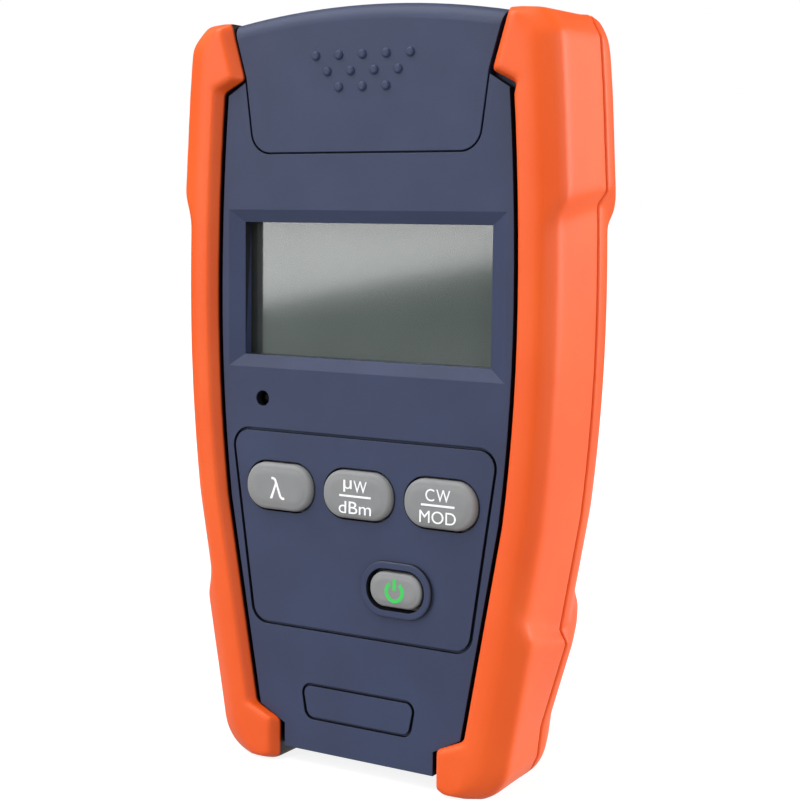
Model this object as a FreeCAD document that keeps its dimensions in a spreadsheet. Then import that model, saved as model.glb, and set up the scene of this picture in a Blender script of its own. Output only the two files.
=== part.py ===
import FreeCAD, Part
import math
import os

import Sketcher

# Handheld optical light source: a two-shell plastic case that narrows towards its feet, with a
# bolted-on pair of moulded side bumpers on each half, a hinged dust cover over the optical port
# at the top, a recessed display, three keys in a row, a power key and a battery door at the back.
# Frame: +Z up, +X to the right seen from the front, the front face looks towards -Y.
# The origin is on the ground, in the middle of the width and of the depth. Lengths in millimetres.

SIZES = [
    # depths: the bumper's ridge, the panel, the parting plane between the shells and the back
    ("ridge_rise", 2.2, "bumper ridge in front of the panel"),
    ("front_depth", 18.8, "panel face to the parting plane"),
    ("rear_depth", 20.0, "parting plane to the back of the bumpers"),
    ("back_rise", 1.4, "bumper back behind the rear panel"),
    ("shoulder_step", 2.2, "panel face to the shoulder that the bumper covers"),
    ("wall", 2.2, "case wall"),
    ("seat_gap", 0.15, "clearance between a bumper and the case under it"),
    # the panel's edge in front view, as half widths at four heights
    ("case_base", 3.5, "height of the case's lower edge"),
    ("tongue_half", 18.4, "panel between the feet"),
    ("tongue_top", 8.6, "where the panel starts to widen above the feet"),
    ("edge_foot_z", 12.0, "panel corner above the foot"),
    ("edge_foot", 24.7, "panel half width there"),
    ("edge_low_z", 57.0, "end of the straight taper"),
    ("edge_low", 32.5, "panel half width there"),
    ("edge_mid_z", 100.0, "widest level"),
    ("edge_mid", 35.0, "panel half width there"),
    ("edge_top_z", 142.4, "panel corner under the top hook"),
    ("edge_top", 33.3, "panel half width there"),
    ("hook_tip_z", 145.0, "top hook's inner corner"),
    ("case_margin", 6.9, "case under the bumper, beyond the panel's edge"),
    ("tower_top", 154.2, "top of the case beside the dust cover"),
    ("deck_top", 137.0, "top of the case under the dust cover"),
    ("tower_cut", 3.0, "cut corner at the top of the case"),
    ("case_corner", 4.0, "cut corner at the foot of the case"),
    ("case_bevel", 0.6, "how far those cuts lean in"),
    ("taper_depth", 12.9, "depth over which the case narrows to its back"),
    ("rear_margin", 2.0, "case beyond the panel's edge at the end of that taper"),
    # the bumpers, as offsets from the panel's edge
    ("edge_gap", 1.2, "dark gap between panel and bumper"),
    ("rear_close", 0.5, "how much narrower that gap is at the back"),
    ("facet_width", 1.4, "inner facet"),
    ("land_width", 3.7, "flat front land"),
    ("chamfer_width", 3.1, "outer chamfer at the waist"),
    ("block_rise", 2.0, "how far the end blocks stand out beyond the waist"),
    ("chamfer_depth", 2.8, "depth of the outer chamfer"),
    ("upper_block_z", 121.2, "lower end of the upper block"),
    ("lower_block_z", 34.6, "upper end of the lower block"),
    ("block_slope", 4.0, "height of the slope at the end of a block"),
    ("seam_slope", 2.5, "height of that slope at the parting plane"),
    ("block_dip", 4.3, "how much lower the lower block ends at the parting plane"),
    ("block_lift", 1.8, "how much higher the upper block ends there"),
    ("foot_lean", 2.2, "how far the side of the foot leans in towards the parting plane"),
    ("crown_fill", 2.0, "how much fuller the top corner is at the parting plane"),
    ("ridge_slope", 6.2, "how far that slope moves on the ridge"),
    ("bumper_top", 157.5, "top of the bumpers"),
    ("corner_cut", 4.4, "cut corner at the top of a bumper"),
    ("foot_inner", 19.7, "inner face of a foot"),
    ("foot_hook_z", 9.2, "inner corner of the bottom hook"),
    ("side_straight", 3.5, "flat side behind the parting plane"),
    ("curl", 7.0, "how far the sides curl in towards the back"),
    ("toe_round", 0.9, "easing of a foot's inner edge"),
    ("heel_flat", 6.6, "start of a foot's outer corner"),
    ("heel_round", 2.05, "height of a foot's outer corner"),
    ("heel_lift", 2.2, "how far the foot rises towards the back"),
    # the dust cover
    ("cover_base", 130.5, "lower edge"),
    ("cover_base_half", 26.6, "half width at the lower edge"),
    ("cover_neck_z", 146.0, "level where the sides start to flare"),
    ("cover_neck", 28.7, "half width there"),
    ("cover_brow_z", 157.2, "top corner"),
    ("cover_brow", 32.0, "half width there"),
    ("cover_crown", 160.0, "top of the crown"),
    ("cover_gap", 0.4, "clearance round the cover"),
    ("cover_wall", 2.0, "cover wall"),
    ("web_rise", 0.67, "web above the hinge barrel"),
    ("cover_corner", 4.5, "radius of the lower corners"),
    ("cover_nose", 3.2, "radius of the top front edge"),
    ("hinge_y", 14.9, "hinge axis behind the middle"),
    ("hinge_z", 155.4, "hinge axis height"),
    ("barrel_radius", 2.4, "hinge barrel"),
    ("barrel_half", 20.0, "half length of the barrel"),
    ("pin_radius", 1.0, "hinge pin"),
    ("pin_play", 0.05, "radial clearance of the pin in the cover"),
    ("pin_grip", 0.02, "radial clearance of the pin in the ears"),
    ("ear_gap", 0.3, "clearance beside the barrel"),
    ("screen_gap", 0.2, "clearance behind the barrel"),
    ("grip_radius", 0.95, "grip bump"),
    ("grip_rise", 0.55, "height of a grip bump"),
    ("grip_round", 0.45, "rounding of a grip bump"),
    ("grip_pitch", 5.6, "spacing of the grip bumps"),
    ("grip_row", 3.2, "spacing of the rows"),
    ("grip_top_z", 149.9, "top row"),
    # the display
    ("screen_z", 101.95, "middle of the display"),
    ("bevel_half", 33.3, "bevel outer half width"),
    ("bevel_high", 16.65, "bevel outer half height"),
    ("window_half", 29.7, "window half width"),
    ("window_high", 14.05, "window half height"),
    ("bevel_depth", 1.1, "bevel depth"),
    ("lens_setback", 3.2, "panel face to the lens"),
    ("lens_lap", 1.7, "lens beyond the window"),
    ("lens_thick", 1.0, "lens"),
    ("lcd_thick", 2.0, "display cell"),
    ("stack_gap", 0.1, "clearance between stacked flat parts"),
    # the keys
    ("key_z", 60.1, "middle of the row of keys"),
    ("key_pitch", 19.6, "key spacing"),
    ("key_half", 8.45, "key half width"),
    ("key_high", 5.15, "key half height"),
    ("key_rise", 1.5, "key face in front of the panel"),
    ("key_play", 0.3, "clearance round a key"),
    ("key_travel", 0.7, "key travel"),
    ("key_edge", 0.9, "rounding of a key's face"),
    ("flange_lap", 1.2, "key flange behind the panel"),
    ("flange_thick", 1.0, "key flange thickness"),
    ("flange_play", 0.15, "clearance between flange and panel"),
    ("power_x", 9.45, "power key to the right of the middle"),
    ("power_z", 41.3, "power key height"),
    ("power_half", 6.3, "power key half width"),
    ("power_high", 3.8, "power key half height"),
    ("power_rise", 1.1, "power key face in front of the panel"),
    ("power_play", 0.6, "gap round the power key"),
    ("bezel_width", 1.5, "raised ring round the power key"),
    ("bezel_rise", 0.9, "height of that ring"),
    ("bezel_edge", 0.45, "rounding of that ring"),
    ("lead_x", 24.4, "indicator hole to the left of the middle"),
    ("lead_z", 78.7, "indicator hole height"),
    ("lead_radius", 1.65, "indicator hole"),
    ("lamp_radius", 1.45, "indicator lamp"),
    ("lamp_round", 1.16, "rounding of its tip"),
    ("spacer_radius", 1.885, "spacer under the lamp"),
    ("lamp_setback", 1.6, "panel face to the lamp's tip"),
    ("groove_width", 0.65, "decorative grooves"),
    ("groove_depth", 1.0, "decorative grooves"),
    ("pad_top_z", 72.0, "key field: upper edge"),
    ("pad_top", 32.3, "key field: upper half width"),
    ("pad_low_z", 30.2, "key field: lower edge"),
    ("pad_low", 26.4, "key field: lower half width"),
    ("pad_corner", 3.8, "key field: corner radius"),
    ("plate_top_z", 18.1, "nameplate field: upper edge"),
    ("plate_top", 14.0, "nameplate field: upper half width"),
    ("plate_low_z", 10.8, "nameplate field: lower edge"),
    ("plate_low", 12.7, "nameplate field: lower half width"),
    ("plate_corner", 2.0, "nameplate field: corner radius"),
    # the circuit board and what it carries
    ("board_setback", 8.8, "panel face to the board's front"),
    ("board_thick", 1.6, "board"),
    ("board_top", 121.0, "board: upper edge"),
    ("board_top_half", 33.5, "board: upper half width"),
    ("board_waist_z", 70.0, "board: level where it narrows"),
    ("board_low", 18.0, "board: lower edge"),
    ("board_low_half", 22.5, "board: lower half width"),
    ("switch_half", 3.0, "tactile switch: half width"),
    ("switch_body", 3.4, "tactile switch: body height"),
    ("plunger_radius", 1.6, "tactile switch: plunger"),
    ("post_radius", 2.75, "board post"),
    ("post_high_x", 30.5, "upper board posts"),
    ("post_high_z", 80.0, "upper board posts"),
    ("post_low_x", 19.5, "lower board posts"),
    ("post_low_z", 23.0, "lower board posts"),
    ("small_shank", 1.1, "board screw radius"),
    ("small_head", 2.2, "board screw head radius"),
    ("small_head_high", 1.5, "board screw head height"),
    ("small_grip", 5.0, "board screw length"),
    ("thread_play", 0.05, "radial clearance of a screw in its post"),
    # the optical port
    ("port_y", -5.5, "port axis in front of the middle"),
    ("port_play", 0.1, "clearance round the adapter stem"),
    ("port_height", 10.0, "adapter barrel above its flange"),
    ("port_thread", 4.0, "adapter barrel radius"),
    ("port_flange_half", 6.5, "adapter flange half side"),
    ("port_flange", 2.0, "adapter flange thickness"),
    ("port_stem", 3.6, "adapter stem radius through the deck"),
    ("sleeve_radius", 1.6, "alignment sleeve outer radius"),
    ("ferrule_radius", 1.25, "alignment sleeve bore"),
    ("sleeve_length", 11.4, "alignment sleeve length"),
    ("port_screw_gap", 4.6, "adapter screws from the axis"),
    ("port_screw", 0.8, "adapter screw radius"),
    ("port_screw_head", 1.4, "adapter screw head radius"),
    ("laser_radius", 2.8, "laser can radius"),
    ("laser_length", 5.0, "laser can length"),
    ("laser_base_radius", 3.6, "laser holder radius"),
    ("laser_holder", 3.0, "laser holder length"),
    ("sleeve_setback", 0.5, "adapter's mouth to the sleeve"),
    # the battery bay
    ("cell_radius", 7.15, "cell"),
    ("cell_length", 49.2, "cell without its nub"),
    ("nub_radius", 2.7, "cell nub"),
    ("nub_length", 1.2, "cell nub"),
    ("cell_pitch", 14.8, "cell spacing"),
    ("bay_base", 19.0, "bay: lower inner face"),
    ("bay_end_room", 2.2, "room for the contacts at each end"),
    ("bay_side_room", 0.5, "room beside the outer cells"),
    ("cell_room", 0.3, "room in front of and behind a cell"),
    ("bay_wall", 1.4, "bay wall"),
    ("door_thick", 2.0, "battery door"),
    ("door_lap", 1.6, "door beyond the bay"),
    ("door_play", 0.3, "clearance round the door"),
    ("door_rest", 0.1, "clearance behind the door"),
    ("door_edge", 0.95, "rounding of the door's lower edge"),
    ("trunnion_radius", 0.6, "door hinge pin"),
    ("trunnion_length", 1.0, "door hinge pin"),
    ("trunnion_play", 0.08, "radial clearance of the hinge pin"),
    ("latch_half", 6.0, "door latch: half width"),
    ("latch_high", 0.8, "door latch: half height"),
    ("latch_play", 0.3, "clearance above the door latch"),
    ("latch_depth", 1.2, "door latch: depth"),
    ("grip_inset", 7.0, "finger grooves below the door's top"),
    ("ridge_pitch", 1.8, "finger groove spacing"),
    ("contact_thick", 0.35, "contact strip"),
    ("contact_half", 4.5, "contact strip half width"),
    ("contact_foot", 5.005, "contact strip, half the length of its foot"),
    ("contact_bend", 3.503, "half the length of its sprung part"),
    ("contact_crown", 1.35, "half the length of the crown that touches the cell"),
    # the case screws
    ("boss_radius", 3.6, "screw boss"),
    ("screw_shank", 1.4, "case screw radius"),
    ("screw_head", 2.7, "case screw head radius"),
    ("screw_head_high", 2.0, "case screw head height"),
    ("screw_length", 15.0, "case screw under its head"),
    ("head_play", 0.25, "clearance round a screw head"),
    ("tower_wall", 1.0, "wall of a screw tower"),
    ("boss_length", 5.0, "parting plane to the screw seat"),
    ("boss_hole", 12.0, "depth of the screw hole in a boss"),
    ("screw_high_x", 28.0, "upper case screws"),
    ("screw_high_z", 128.0, "upper case screws"),
    ("screw_low_x", 13.0, "lower case screws"),
    ("screw_low_z", 10.2, "lower case screws"),
]


class Size:
    """A length that carries both its number and the sheet formula that gives it."""

    def __init__(self, value, text):
        self.value = float(value)
        self.text = text

    def _join(self, other, sign, value):
        return Size(value, "(%s %s %s)" % (self.text, sign, text_of(other)))

    def __add__(self, other):
        return self._join(other, "+", self.value + value_of(other))

    def __sub__(self, other):
        return self._join(other, "-", self.value - value_of(other))

    def __mul__(self, other):
        return self._join(other, "*", self.value * value_of(other))

    def __truediv__(self, other):
        return self._join(other, "/", self.value / value_of(other))

    def __neg__(self):
        return Size(-self.value, "(-1 * %s)" % self.text)


def value_of(size):
    return size.value if isinstance(size, Size) else float(size)


def text_of(size):
    return size.text if isinstance(size, Size) else repr(float(size))


class Dimensions:
    """The driving dimensions: one attribute for each cell of the sheet."""

    def __init__(self, doc):
        sheet = doc.addObject("Spreadsheet::Sheet", "Sizes")
        for row, (alias, value, note) in enumerate(SIZES, start=1):
            sheet.set("A%d" % row, note)
            sheet.set("B%d" % row, repr(value))
            sheet.setAlias("B%d" % row, alias)
            setattr(self, alias, Size(value, "Sizes.%s" % alias))


class Corner:
    """One corner of an outline in the view that is drawn, with how it goes on to the next."""

    def __init__(self, across, up, radius=None, bow_level=None):
        self.across = across
        self.up = up
        self.radius = radius
        self.bow_level = bow_level


class Outline:
    """A closed loop of corners. A corner may be rounded, or its next side may be an arc."""

    def __init__(self, corners):
        self.corners = corners

    def draw(self, sketch):
        count = len(self.corners)
        places = [(corner.across.value, corner.up.value) for corner in self.corners]
        trims = [self.trim(places, index) for index in range(count)]
        sides = [self.side(sketch, places, trims, index) for index in range(count)]
        for index, corner in enumerate(self.corners):
            before = sides[index - 1]
            after = sides[index]
            if corner.radius is None:
                join(sketch, "Coincident", before[0], before[2], after[0], after[1])
                pin_point(sketch, after[0], after[1], corner)
            else:
                self.rounding(sketch, trims[index], before, after, corner)

    def trim(self, places, index):
        """Where a rounded corner leaves its two sides, and the centre of its arc."""
        corner = self.corners[index]
        here = FreeCAD.Vector(*places[index], 0)
        if corner.radius is None:
            return here, here, None
        back = FreeCAD.Vector(*places[index - 1], 0).sub(here).normalize()
        ahead = FreeCAD.Vector(*places[(index + 1) % len(places)], 0).sub(here).normalize()
        half_turn = back.getAngle(ahead) / 2
        reach = corner.radius.value / math.tan(half_turn)
        middle = back.add(ahead).normalize()
        centre = here.add(middle * (corner.radius.value / math.sin(half_turn)))
        return here.add(back * reach), here.add(ahead * reach), centre

    def side(self, sketch, places, trims, index):
        """Adds one side and returns its number with the positions of its start and its end."""
        corner = self.corners[index]
        following = (index + 1) % len(places)
        start = trims[index][1]
        end = trims[following][0]
        if corner.bow_level is None:
            return sketch.addGeometry(Part.LineSegment(start, end)), 1, 2
        level = corner.bow_level.value
        lift = (start.y - level) ** 2 - (end.y - level) ** 2
        across = (start.x ** 2 - end.x ** 2 + lift) / (2 * (start.x - end.x))
        number, first, last = add_arc(sketch, start, end, FreeCAD.Vector(across, level, 0))
        tie(sketch, "DistanceY", number, CENTRE, corner.bow_level)
        return number, first, last

    def rounding(self, sketch, trim, before, after, corner):
        here = FreeCAD.Vector(corner.across.value, corner.up.value, 0)
        mark = sketch.addGeometry(Part.Point(here), True)
        pin_point(sketch, mark, 1, corner)
        join(sketch, "PointOnObject", mark, 1, before[0])
        join(sketch, "PointOnObject", mark, 1, after[0])
        number, first, last = add_arc(sketch, trim[0], trim[1], trim[2])
        join(sketch, "Tangent", before[0], before[2], number, first)
        join(sketch, "Tangent", number, last, after[0], after[1])
        index = join(sketch, "Radius", number, corner.radius.value)
        sketch.setExpression("Constraints[%d]" % index, corner.radius.text)


# The sketcher's number for the centre of a circle or an arc.
CENTRE = 3


class Round:
    """A circle in the view that is drawn."""

    def __init__(self, across, up, radius):
        self.across = across
        self.up = up
        self.radius = radius

    def draw(self, sketch):
        centre = FreeCAD.Vector(self.across.value, self.up.value, 0)
        circle = Part.Circle(centre, FreeCAD.Vector(0, 0, 1), self.radius.value)
        number = sketch.addGeometry(circle)
        tie(sketch, "DistanceX", number, CENTRE, self.across)
        tie(sketch, "DistanceY", number, CENTRE, self.up)
        index = join(sketch, "Radius", number, self.radius.value)
        sketch.setExpression("Constraints[%d]" % index, self.radius.text)


def join(sketch, kind, *parts):
    return sketch.addConstraint(Sketcher.Constraint(kind, *parts))


def tie(sketch, kind, number, position, size):
    """Fixes one coordinate of a point of the sketch to a formula of the sheet."""
    index = join(sketch, kind, -1, 1, number, position, size.value)
    sketch.setExpression("Constraints[%d]" % index, size.text)


def pin_point(sketch, number, position, corner):
    tie(sketch, "DistanceX", number, position, corner.across)
    tie(sketch, "DistanceY", number, position, corner.up)


def add_arc(sketch, start, end, centre):
    """Adds the short arc from start to end and says which of its ends is which."""
    from_centre = start.sub(centre)
    to_centre = end.sub(centre)
    circle = Part.Circle(centre, FreeCAD.Vector(0, 0, 1), from_centre.Length)
    angle_start = math.atan2(from_centre.y, from_centre.x)
    angle_end = math.atan2(to_centre.y, to_centre.x)
    if from_centre.cross(to_centre).z > 0:
        return sketch.addGeometry(Part.ArcOfCircle(circle, angle_start, angle_end)), 1, 2
    return sketch.addGeometry(Part.ArcOfCircle(circle, angle_end, angle_start)), 2, 1


# Each view: the origin plane it is drawn on, and whether its normal follows the frame's axis.
VIEWS = {"front": ("XZ_Plane", -1), "side": ("YZ_Plane", 1), "top": ("XY_Plane", 1)}


def new_body(doc, label):
    body = doc.addObject("PartDesign::Body", label)
    body.Label = label
    body.Placement = FreeCAD.Placement()
    return body


def new_sketch(body, name, view, level, loops):
    role, sign = VIEWS[view]
    plane = [item for item in body.Origin.OriginFeatures if item.Role == role][0]
    sketch = body.newObject("Sketcher::SketchObject", name)
    sketch.AttachmentSupport = [(plane, "")]
    sketch.MapMode = "FlatFace"
    offset = level * sign
    sketch.AttachmentOffset = FreeCAD.Placement(FreeCAD.Vector(0, 0, offset.value), FreeCAD.Rotation())
    sketch.setExpression("AttachmentOffset.Base.z", offset.text)
    for loop in loops:
        loop.draw(sketch)
    return sketch


def extrude(body, kind, name, view, loops, start, end):
    """One pad or pocket whose sketch lies at the level start and that reaches the level end."""
    sketch = new_sketch(body, name + "_sketch", view, start, loops)
    feature = body.newObject("PartDesign::" + kind, name)
    feature.Profile = sketch
    forwards = end.value > start.value
    length = end - start if forwards else start - end
    feature.Length = length.value
    feature.setExpression("Length", length.text)
    along_normal = forwards == (VIEWS[view][1] > 0)
    feature.Reversed = along_normal if kind == "Pocket" else not along_normal
    return feature


def add(body, name, view, loops, start, end):
    feature = extrude(body, "Pad", name, view, loops, start, end)
    check_change(body, feature, 1)


def cut(body, name, view, loops, start, end):
    feature = extrude(body, "Pocket", name, view, loops, start, end)
    check_change(body, feature, -1)


def blend(body, kind, name, sections):
    """A ruled loft through (level, loop) sections drawn in the front view."""
    sketches = []
    for number, (level, loop) in enumerate(sections):
        sketches.append(new_sketch(body, "%s_%d" % (name, number), "front", level, [loop]))
    feature = body.newObject("PartDesign::" + kind, name)
    feature.Profile = sketches[0]
    feature.Sections = sketches[1:]
    feature.Ruled = True
    check_change(body, feature, -1 if kind == "SubtractiveLoft" else 1)


def soften(body, name, kind, radius, chosen):
    """A fillet or chamfer on the edges of the body's last shape that the test picks."""
    base = body.Tip
    edges = []
    for number, edge in enumerate(base.Shape.Edges, start=1):
        if chosen(edge):
            edges.append("Edge%d" % number)
    if not edges:
        raise RuntimeError("%s: no edge found on %s" % (name, body.Label))
    feature = body.newObject("PartDesign::" + kind, name)
    feature.Base = (base, edges)
    size_name = "Radius" if kind == "Fillet" else "Size"
    setattr(feature, size_name, radius.value)
    feature.setExpression(size_name, radius.text)
    check_change(body, feature, 0)


def nought(size):
    return size - size


def check_change(body, feature, sign):
    """Recomputes and stops if the feature failed or changed the volume the wrong way."""
    before = 0.0
    previous = feature.BaseFeature
    if previous is not None:
        before = previous.Shape.Volume
    body.Tip = feature
    body.Document.recompute()
    states = feature.State
    if "Invalid" in states or "Error" in states or feature.Shape.isNull():
        raise RuntimeError("%s failed on %s" % (feature.Name, body.Label))
    change = feature.Shape.Volume - before
    if sign * change < 0 or abs(change) < LEAST_CHANGE:
        raise RuntimeError("%s changes %s by %.4f" % (feature.Name, body.Label, change))


LEAST_CHANGE = 1e-4


def rectangle(across, up, half, high, radius=None):
    return Outline([
        Corner(across - half, up - high, radius),
        Corner(across + half, up - high, radius),
        Corner(across + half, up + high, radius),
        Corner(across - half, up + high, radius),
    ])


def mirrored(right):
    """The corners of the right half, from the bottom up, and the same ones on the left."""
    left = []
    for index in reversed(range(len(right))):
        corner = right[index]
        bow = right[index - 1].bow_level if index > 0 else None
        left.append(Corner(-corner.across, corner.up, corner.radius, bow))
    return Outline(right + left)


def flipped(corners):
    """The same outline on the other side of the middle."""
    left = []
    for index in reversed(range(len(corners))):
        corner = corners[index]
        left.append(Corner(-corner.across, corner.up, corner.radius, corners[index - 1].bow_level))
    return left


class Levels:
    """Depths, heights and half widths that follow from the driving dimensions."""

    def __init__(self, d):
        self.parting = (d.ridge_rise + d.front_depth - d.rear_depth) / 2
        self.panel = self.parting - d.front_depth
        self.ridge = self.panel - d.ridge_rise
        self.shoulder = self.panel + d.shoulder_step
        self.chamfer_start = self.ridge + d.chamfer_depth
        self.back = self.parting + d.rear_depth
        self.rear_panel = self.back - d.back_rise
        self.rear_shoulder = self.rear_panel - d.shoulder_step
        self.rear_taper = self.rear_shoulder - d.taper_depth
        self.inside = self.panel + d.wall
        self.recess = self.panel + d.cover_wall + d.cover_gap
        self.board = self.panel + d.board_setback
        self.board_back = self.board + d.board_thick
        self.lens = self.panel + d.lens_setback
        self.lens_back = self.lens + d.lens_thick
        self.door_inside = self.rear_panel - d.door_thick
        self.cell_y = self.door_inside - d.cell_room - d.cell_radius
        self.bay_floor = self.cell_y - d.cell_radius - d.cell_room
        self.bay_top = d.bay_base + d.bay_end_room * 2 + d.cell_length + d.nub_length
        self.bay_half = d.cell_pitch + d.cell_radius + d.bay_side_room
        self.door_half = self.bay_half + d.door_lap
        self.door_base = d.bay_base - d.door_lap
        self.door_top = self.bay_top + d.door_lap
        self.door_axis_y = self.rear_panel - d.door_thick / 2
        self.door_axis_z = self.door_base + d.door_thick / 2
        self.cover_back = d.hinge_y - d.barrel_radius - d.cover_gap
        self.flange_front = self.inside + d.flange_play
        self.flange_back = self.flange_front + d.flange_thick
        self.screw_seat = self.parting + d.boss_length


def edge_at(d, level):
    """Half width of the panel at a level, from the same taper and bow as its outline."""
    if level.value <= d.edge_low_z.value:
        share = (level - d.edge_foot_z) / (d.edge_low_z - d.edge_foot_z)
        return d.edge_foot + (d.edge_low - d.edge_foot) * share
    if level.value <= d.edge_mid_z.value:
        share = (d.edge_mid_z - level) / (d.edge_mid_z - d.edge_low_z)
        return d.edge_mid - (d.edge_mid - d.edge_low) * share * share
    share = (level - d.edge_mid_z) / (d.edge_top_z - d.edge_mid_z)
    return d.edge_mid - (d.edge_mid - d.edge_top) * share * share


def cover_side(d, level):
    """Half width of the dust cover at a level between its lower edge and its brow."""
    if level.value <= d.cover_neck_z.value:
        share = (level - d.cover_base) / (d.cover_neck_z - d.cover_base)
        return d.cover_base_half + (d.cover_neck - d.cover_base_half) * share
    share = (level - d.cover_neck_z) / (d.cover_brow_z - d.cover_neck_z)
    return d.cover_neck + (d.cover_brow - d.cover_neck) * share


def panel_outline(d):
    """The panel face: a tongue between the feet, tapered bowed sides, cut corners on top."""
    return mirrored([
        Corner(d.tongue_half, d.case_base),
        Corner(d.tongue_half, d.tongue_top),
        Corner(d.edge_foot, d.edge_foot_z),
        Corner(d.edge_low, d.edge_low_z, None, d.edge_mid_z),
        Corner(d.edge_mid, d.edge_mid_z, None, d.edge_mid_z),
        Corner(d.edge_top, d.edge_top_z),
        Corner(cover_side(d, d.hook_tip_z) + d.cover_gap, d.hook_tip_z),
    ])


def case_outline(d, margin, gap):
    """The case under the bumpers, with a tower beside the dust cover on each side."""
    tower = margin - d.tower_cut
    return mirrored([
        Corner(d.edge_foot + margin - d.case_corner + gap, d.case_base - gap),
        Corner(d.edge_foot + margin - d.case_bevel + gap, d.case_base + d.case_corner),
        Corner(d.edge_foot + margin + gap, d.edge_foot_z),
        Corner(d.edge_low + margin + gap, d.edge_low_z, None, d.edge_mid_z),
        Corner(d.edge_mid + margin + gap, d.edge_mid_z, None, d.edge_mid_z),
        Corner(d.edge_top + margin + gap, d.edge_top_z),
        Corner(d.edge_top + margin - d.case_bevel + gap, d.tower_top - d.tower_cut),
        Corner(d.edge_top + tower + gap, d.tower_top + gap),
        Corner(cover_side(d, d.tower_top) + d.cover_gap - gap, d.tower_top + gap),
        Corner(d.cover_neck + d.cover_gap - gap, d.cover_neck_z),
        Corner(cover_side(d, d.deck_top) + d.cover_gap - gap, d.deck_top),
    ])


def cavity_outline(d, margin, top):
    """The hollow inside the case."""
    inner = margin - d.wall
    return mirrored([
        Corner(d.edge_foot + inner - d.case_corner, d.case_base + d.wall),
        Corner(d.edge_foot + inner - d.case_bevel, d.case_base + d.wall + d.case_corner),
        Corner(d.edge_low + inner, d.edge_low_z, None, d.edge_mid_z),
        Corner(d.edge_mid + inner, d.edge_mid_z),
        Corner(edge_at(d, top) + inner, top),
    ])


def field_outline(d, top_z, top, low_z, low, corner, grow):
    """A tapered field with rounded corners, for the grooves round keys and nameplate."""
    radius = corner + grow
    return mirrored([
        Corner(low + grow, low_z - grow, radius),
        Corner(top + grow, top_z + grow, radius),
    ])


def groove(body, d, lv, name, field):
    half = d.groove_width / 2
    loops = [field_outline(d, *field, half), field_outline(d, *field, -half)]
    cut(body, name, "front", loops, lv.panel, lv.panel + d.groove_depth)


def stadium(across, up, half, high, grow):
    """A key's outline: fully rounded ends, apart from a short straight stretch."""
    return rectangle(across, up, half + grow, high + grow, (high + grow) * KEY_ROUNDNESS)


def key_places(d):
    return [(-d.key_pitch, d.key_z), (nought(d.key_z), d.key_z), (d.key_pitch, d.key_z)]


KEY_ROUNDNESS = 0.96


def post_places(d):
    return [(d.post_high_x, d.post_high_z), (-d.post_high_x, d.post_high_z),
            (d.post_low_x, d.post_low_z), (-d.post_low_x, d.post_low_z)]


def case_screw_places(d):
    return [(d.screw_high_x, d.screw_high_z), (-d.screw_high_x, d.screw_high_z),
            (d.screw_low_x, d.screw_low_z), (-d.screw_low_x, d.screw_low_z)]


def circles(places, radius):
    return [Round(across, up, radius) for across, up in places]


def front_shell(doc, d, lv):
    """Front half of the case: panel, display bevel, key holes, posts and screw bosses."""
    body = new_body(doc, "front_shell")
    add(body, "case", "front", [case_outline(d, d.case_margin, nought(d.wall))],
        lv.parting, lv.shoulder)
    add(body, "panel", "front", [panel_outline(d)], lv.shoulder, lv.panel)
    low_top = d.cover_base - d.cover_gap - d.wall
    cut(body, "hollow", "front", [cavity_outline(d, d.case_margin, low_top)],
        lv.parting, lv.inside)
    top_middle = (low_top + d.deck_top - d.wall) / 2 - d.wall / 2
    top_high = (d.deck_top - d.wall - low_top) / 2 + d.wall / 2
    top_half = d.edge_top + d.case_margin - d.wall * 2
    cut(body, "upper_hollow", "front",
        [rectangle(nought(d.wall), top_middle, top_half, top_high)],
        lv.parting, lv.recess + d.wall)
    recess = mirrored([
        Corner(d.cover_base_half + d.cover_gap, d.cover_base - d.cover_gap,
               d.cover_corner + d.cover_gap),
        Corner(d.cover_neck + d.cover_gap, d.cover_neck_z),
    ])
    cut(body, "cover_recess", "front", [recess], lv.panel, lv.recess)
    display_opening(body, d, lv)
    key_openings(body, d, lv)
    groove(body, d, lv, "key_field",
           (d.pad_top_z, d.pad_top, d.pad_low_z, d.pad_low, d.pad_corner))
    groove(body, d, lv, "nameplate_field",
           (d.plate_top_z, d.plate_top, d.plate_low_z, d.plate_low, d.plate_corner))
    add(body, "board_posts", "front", circles(post_places(d), d.post_radius),
        lv.board, lv.inside)
    cut(body, "post_holes", "front", circles(post_places(d), d.small_shank + d.thread_play),
        lv.board, lv.board - d.small_grip)
    add(body, "screw_bosses", "front", circles(case_screw_places(d), d.boss_radius),
        lv.parting, lv.inside)
    cut(body, "boss_holes", "front",
        circles(case_screw_places(d), d.screw_shank + d.thread_play),
        lv.parting, lv.parting - d.boss_hole)
    port_openings(body, d, lv)
    return body


def display_opening(body, d, lv):
    middle = nought(d.screen_z)
    add(body, "lens_collar", "front",
        [rectangle(middle, d.screen_z, d.window_half + d.lens_lap, d.window_high + d.lens_lap)],
        lv.inside, lv.lens)
    blend(body, "SubtractiveLoft", "display_bevel", [
        (lv.panel, rectangle(middle, d.screen_z, d.bevel_half, d.bevel_high)),
        (lv.panel + d.bevel_depth,
         rectangle(middle, d.screen_z, d.window_half, d.window_high)),
    ])
    cut(body, "window", "front", [rectangle(middle, d.screen_z, d.window_half, d.window_high)],
        lv.panel, lv.lens)


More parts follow.
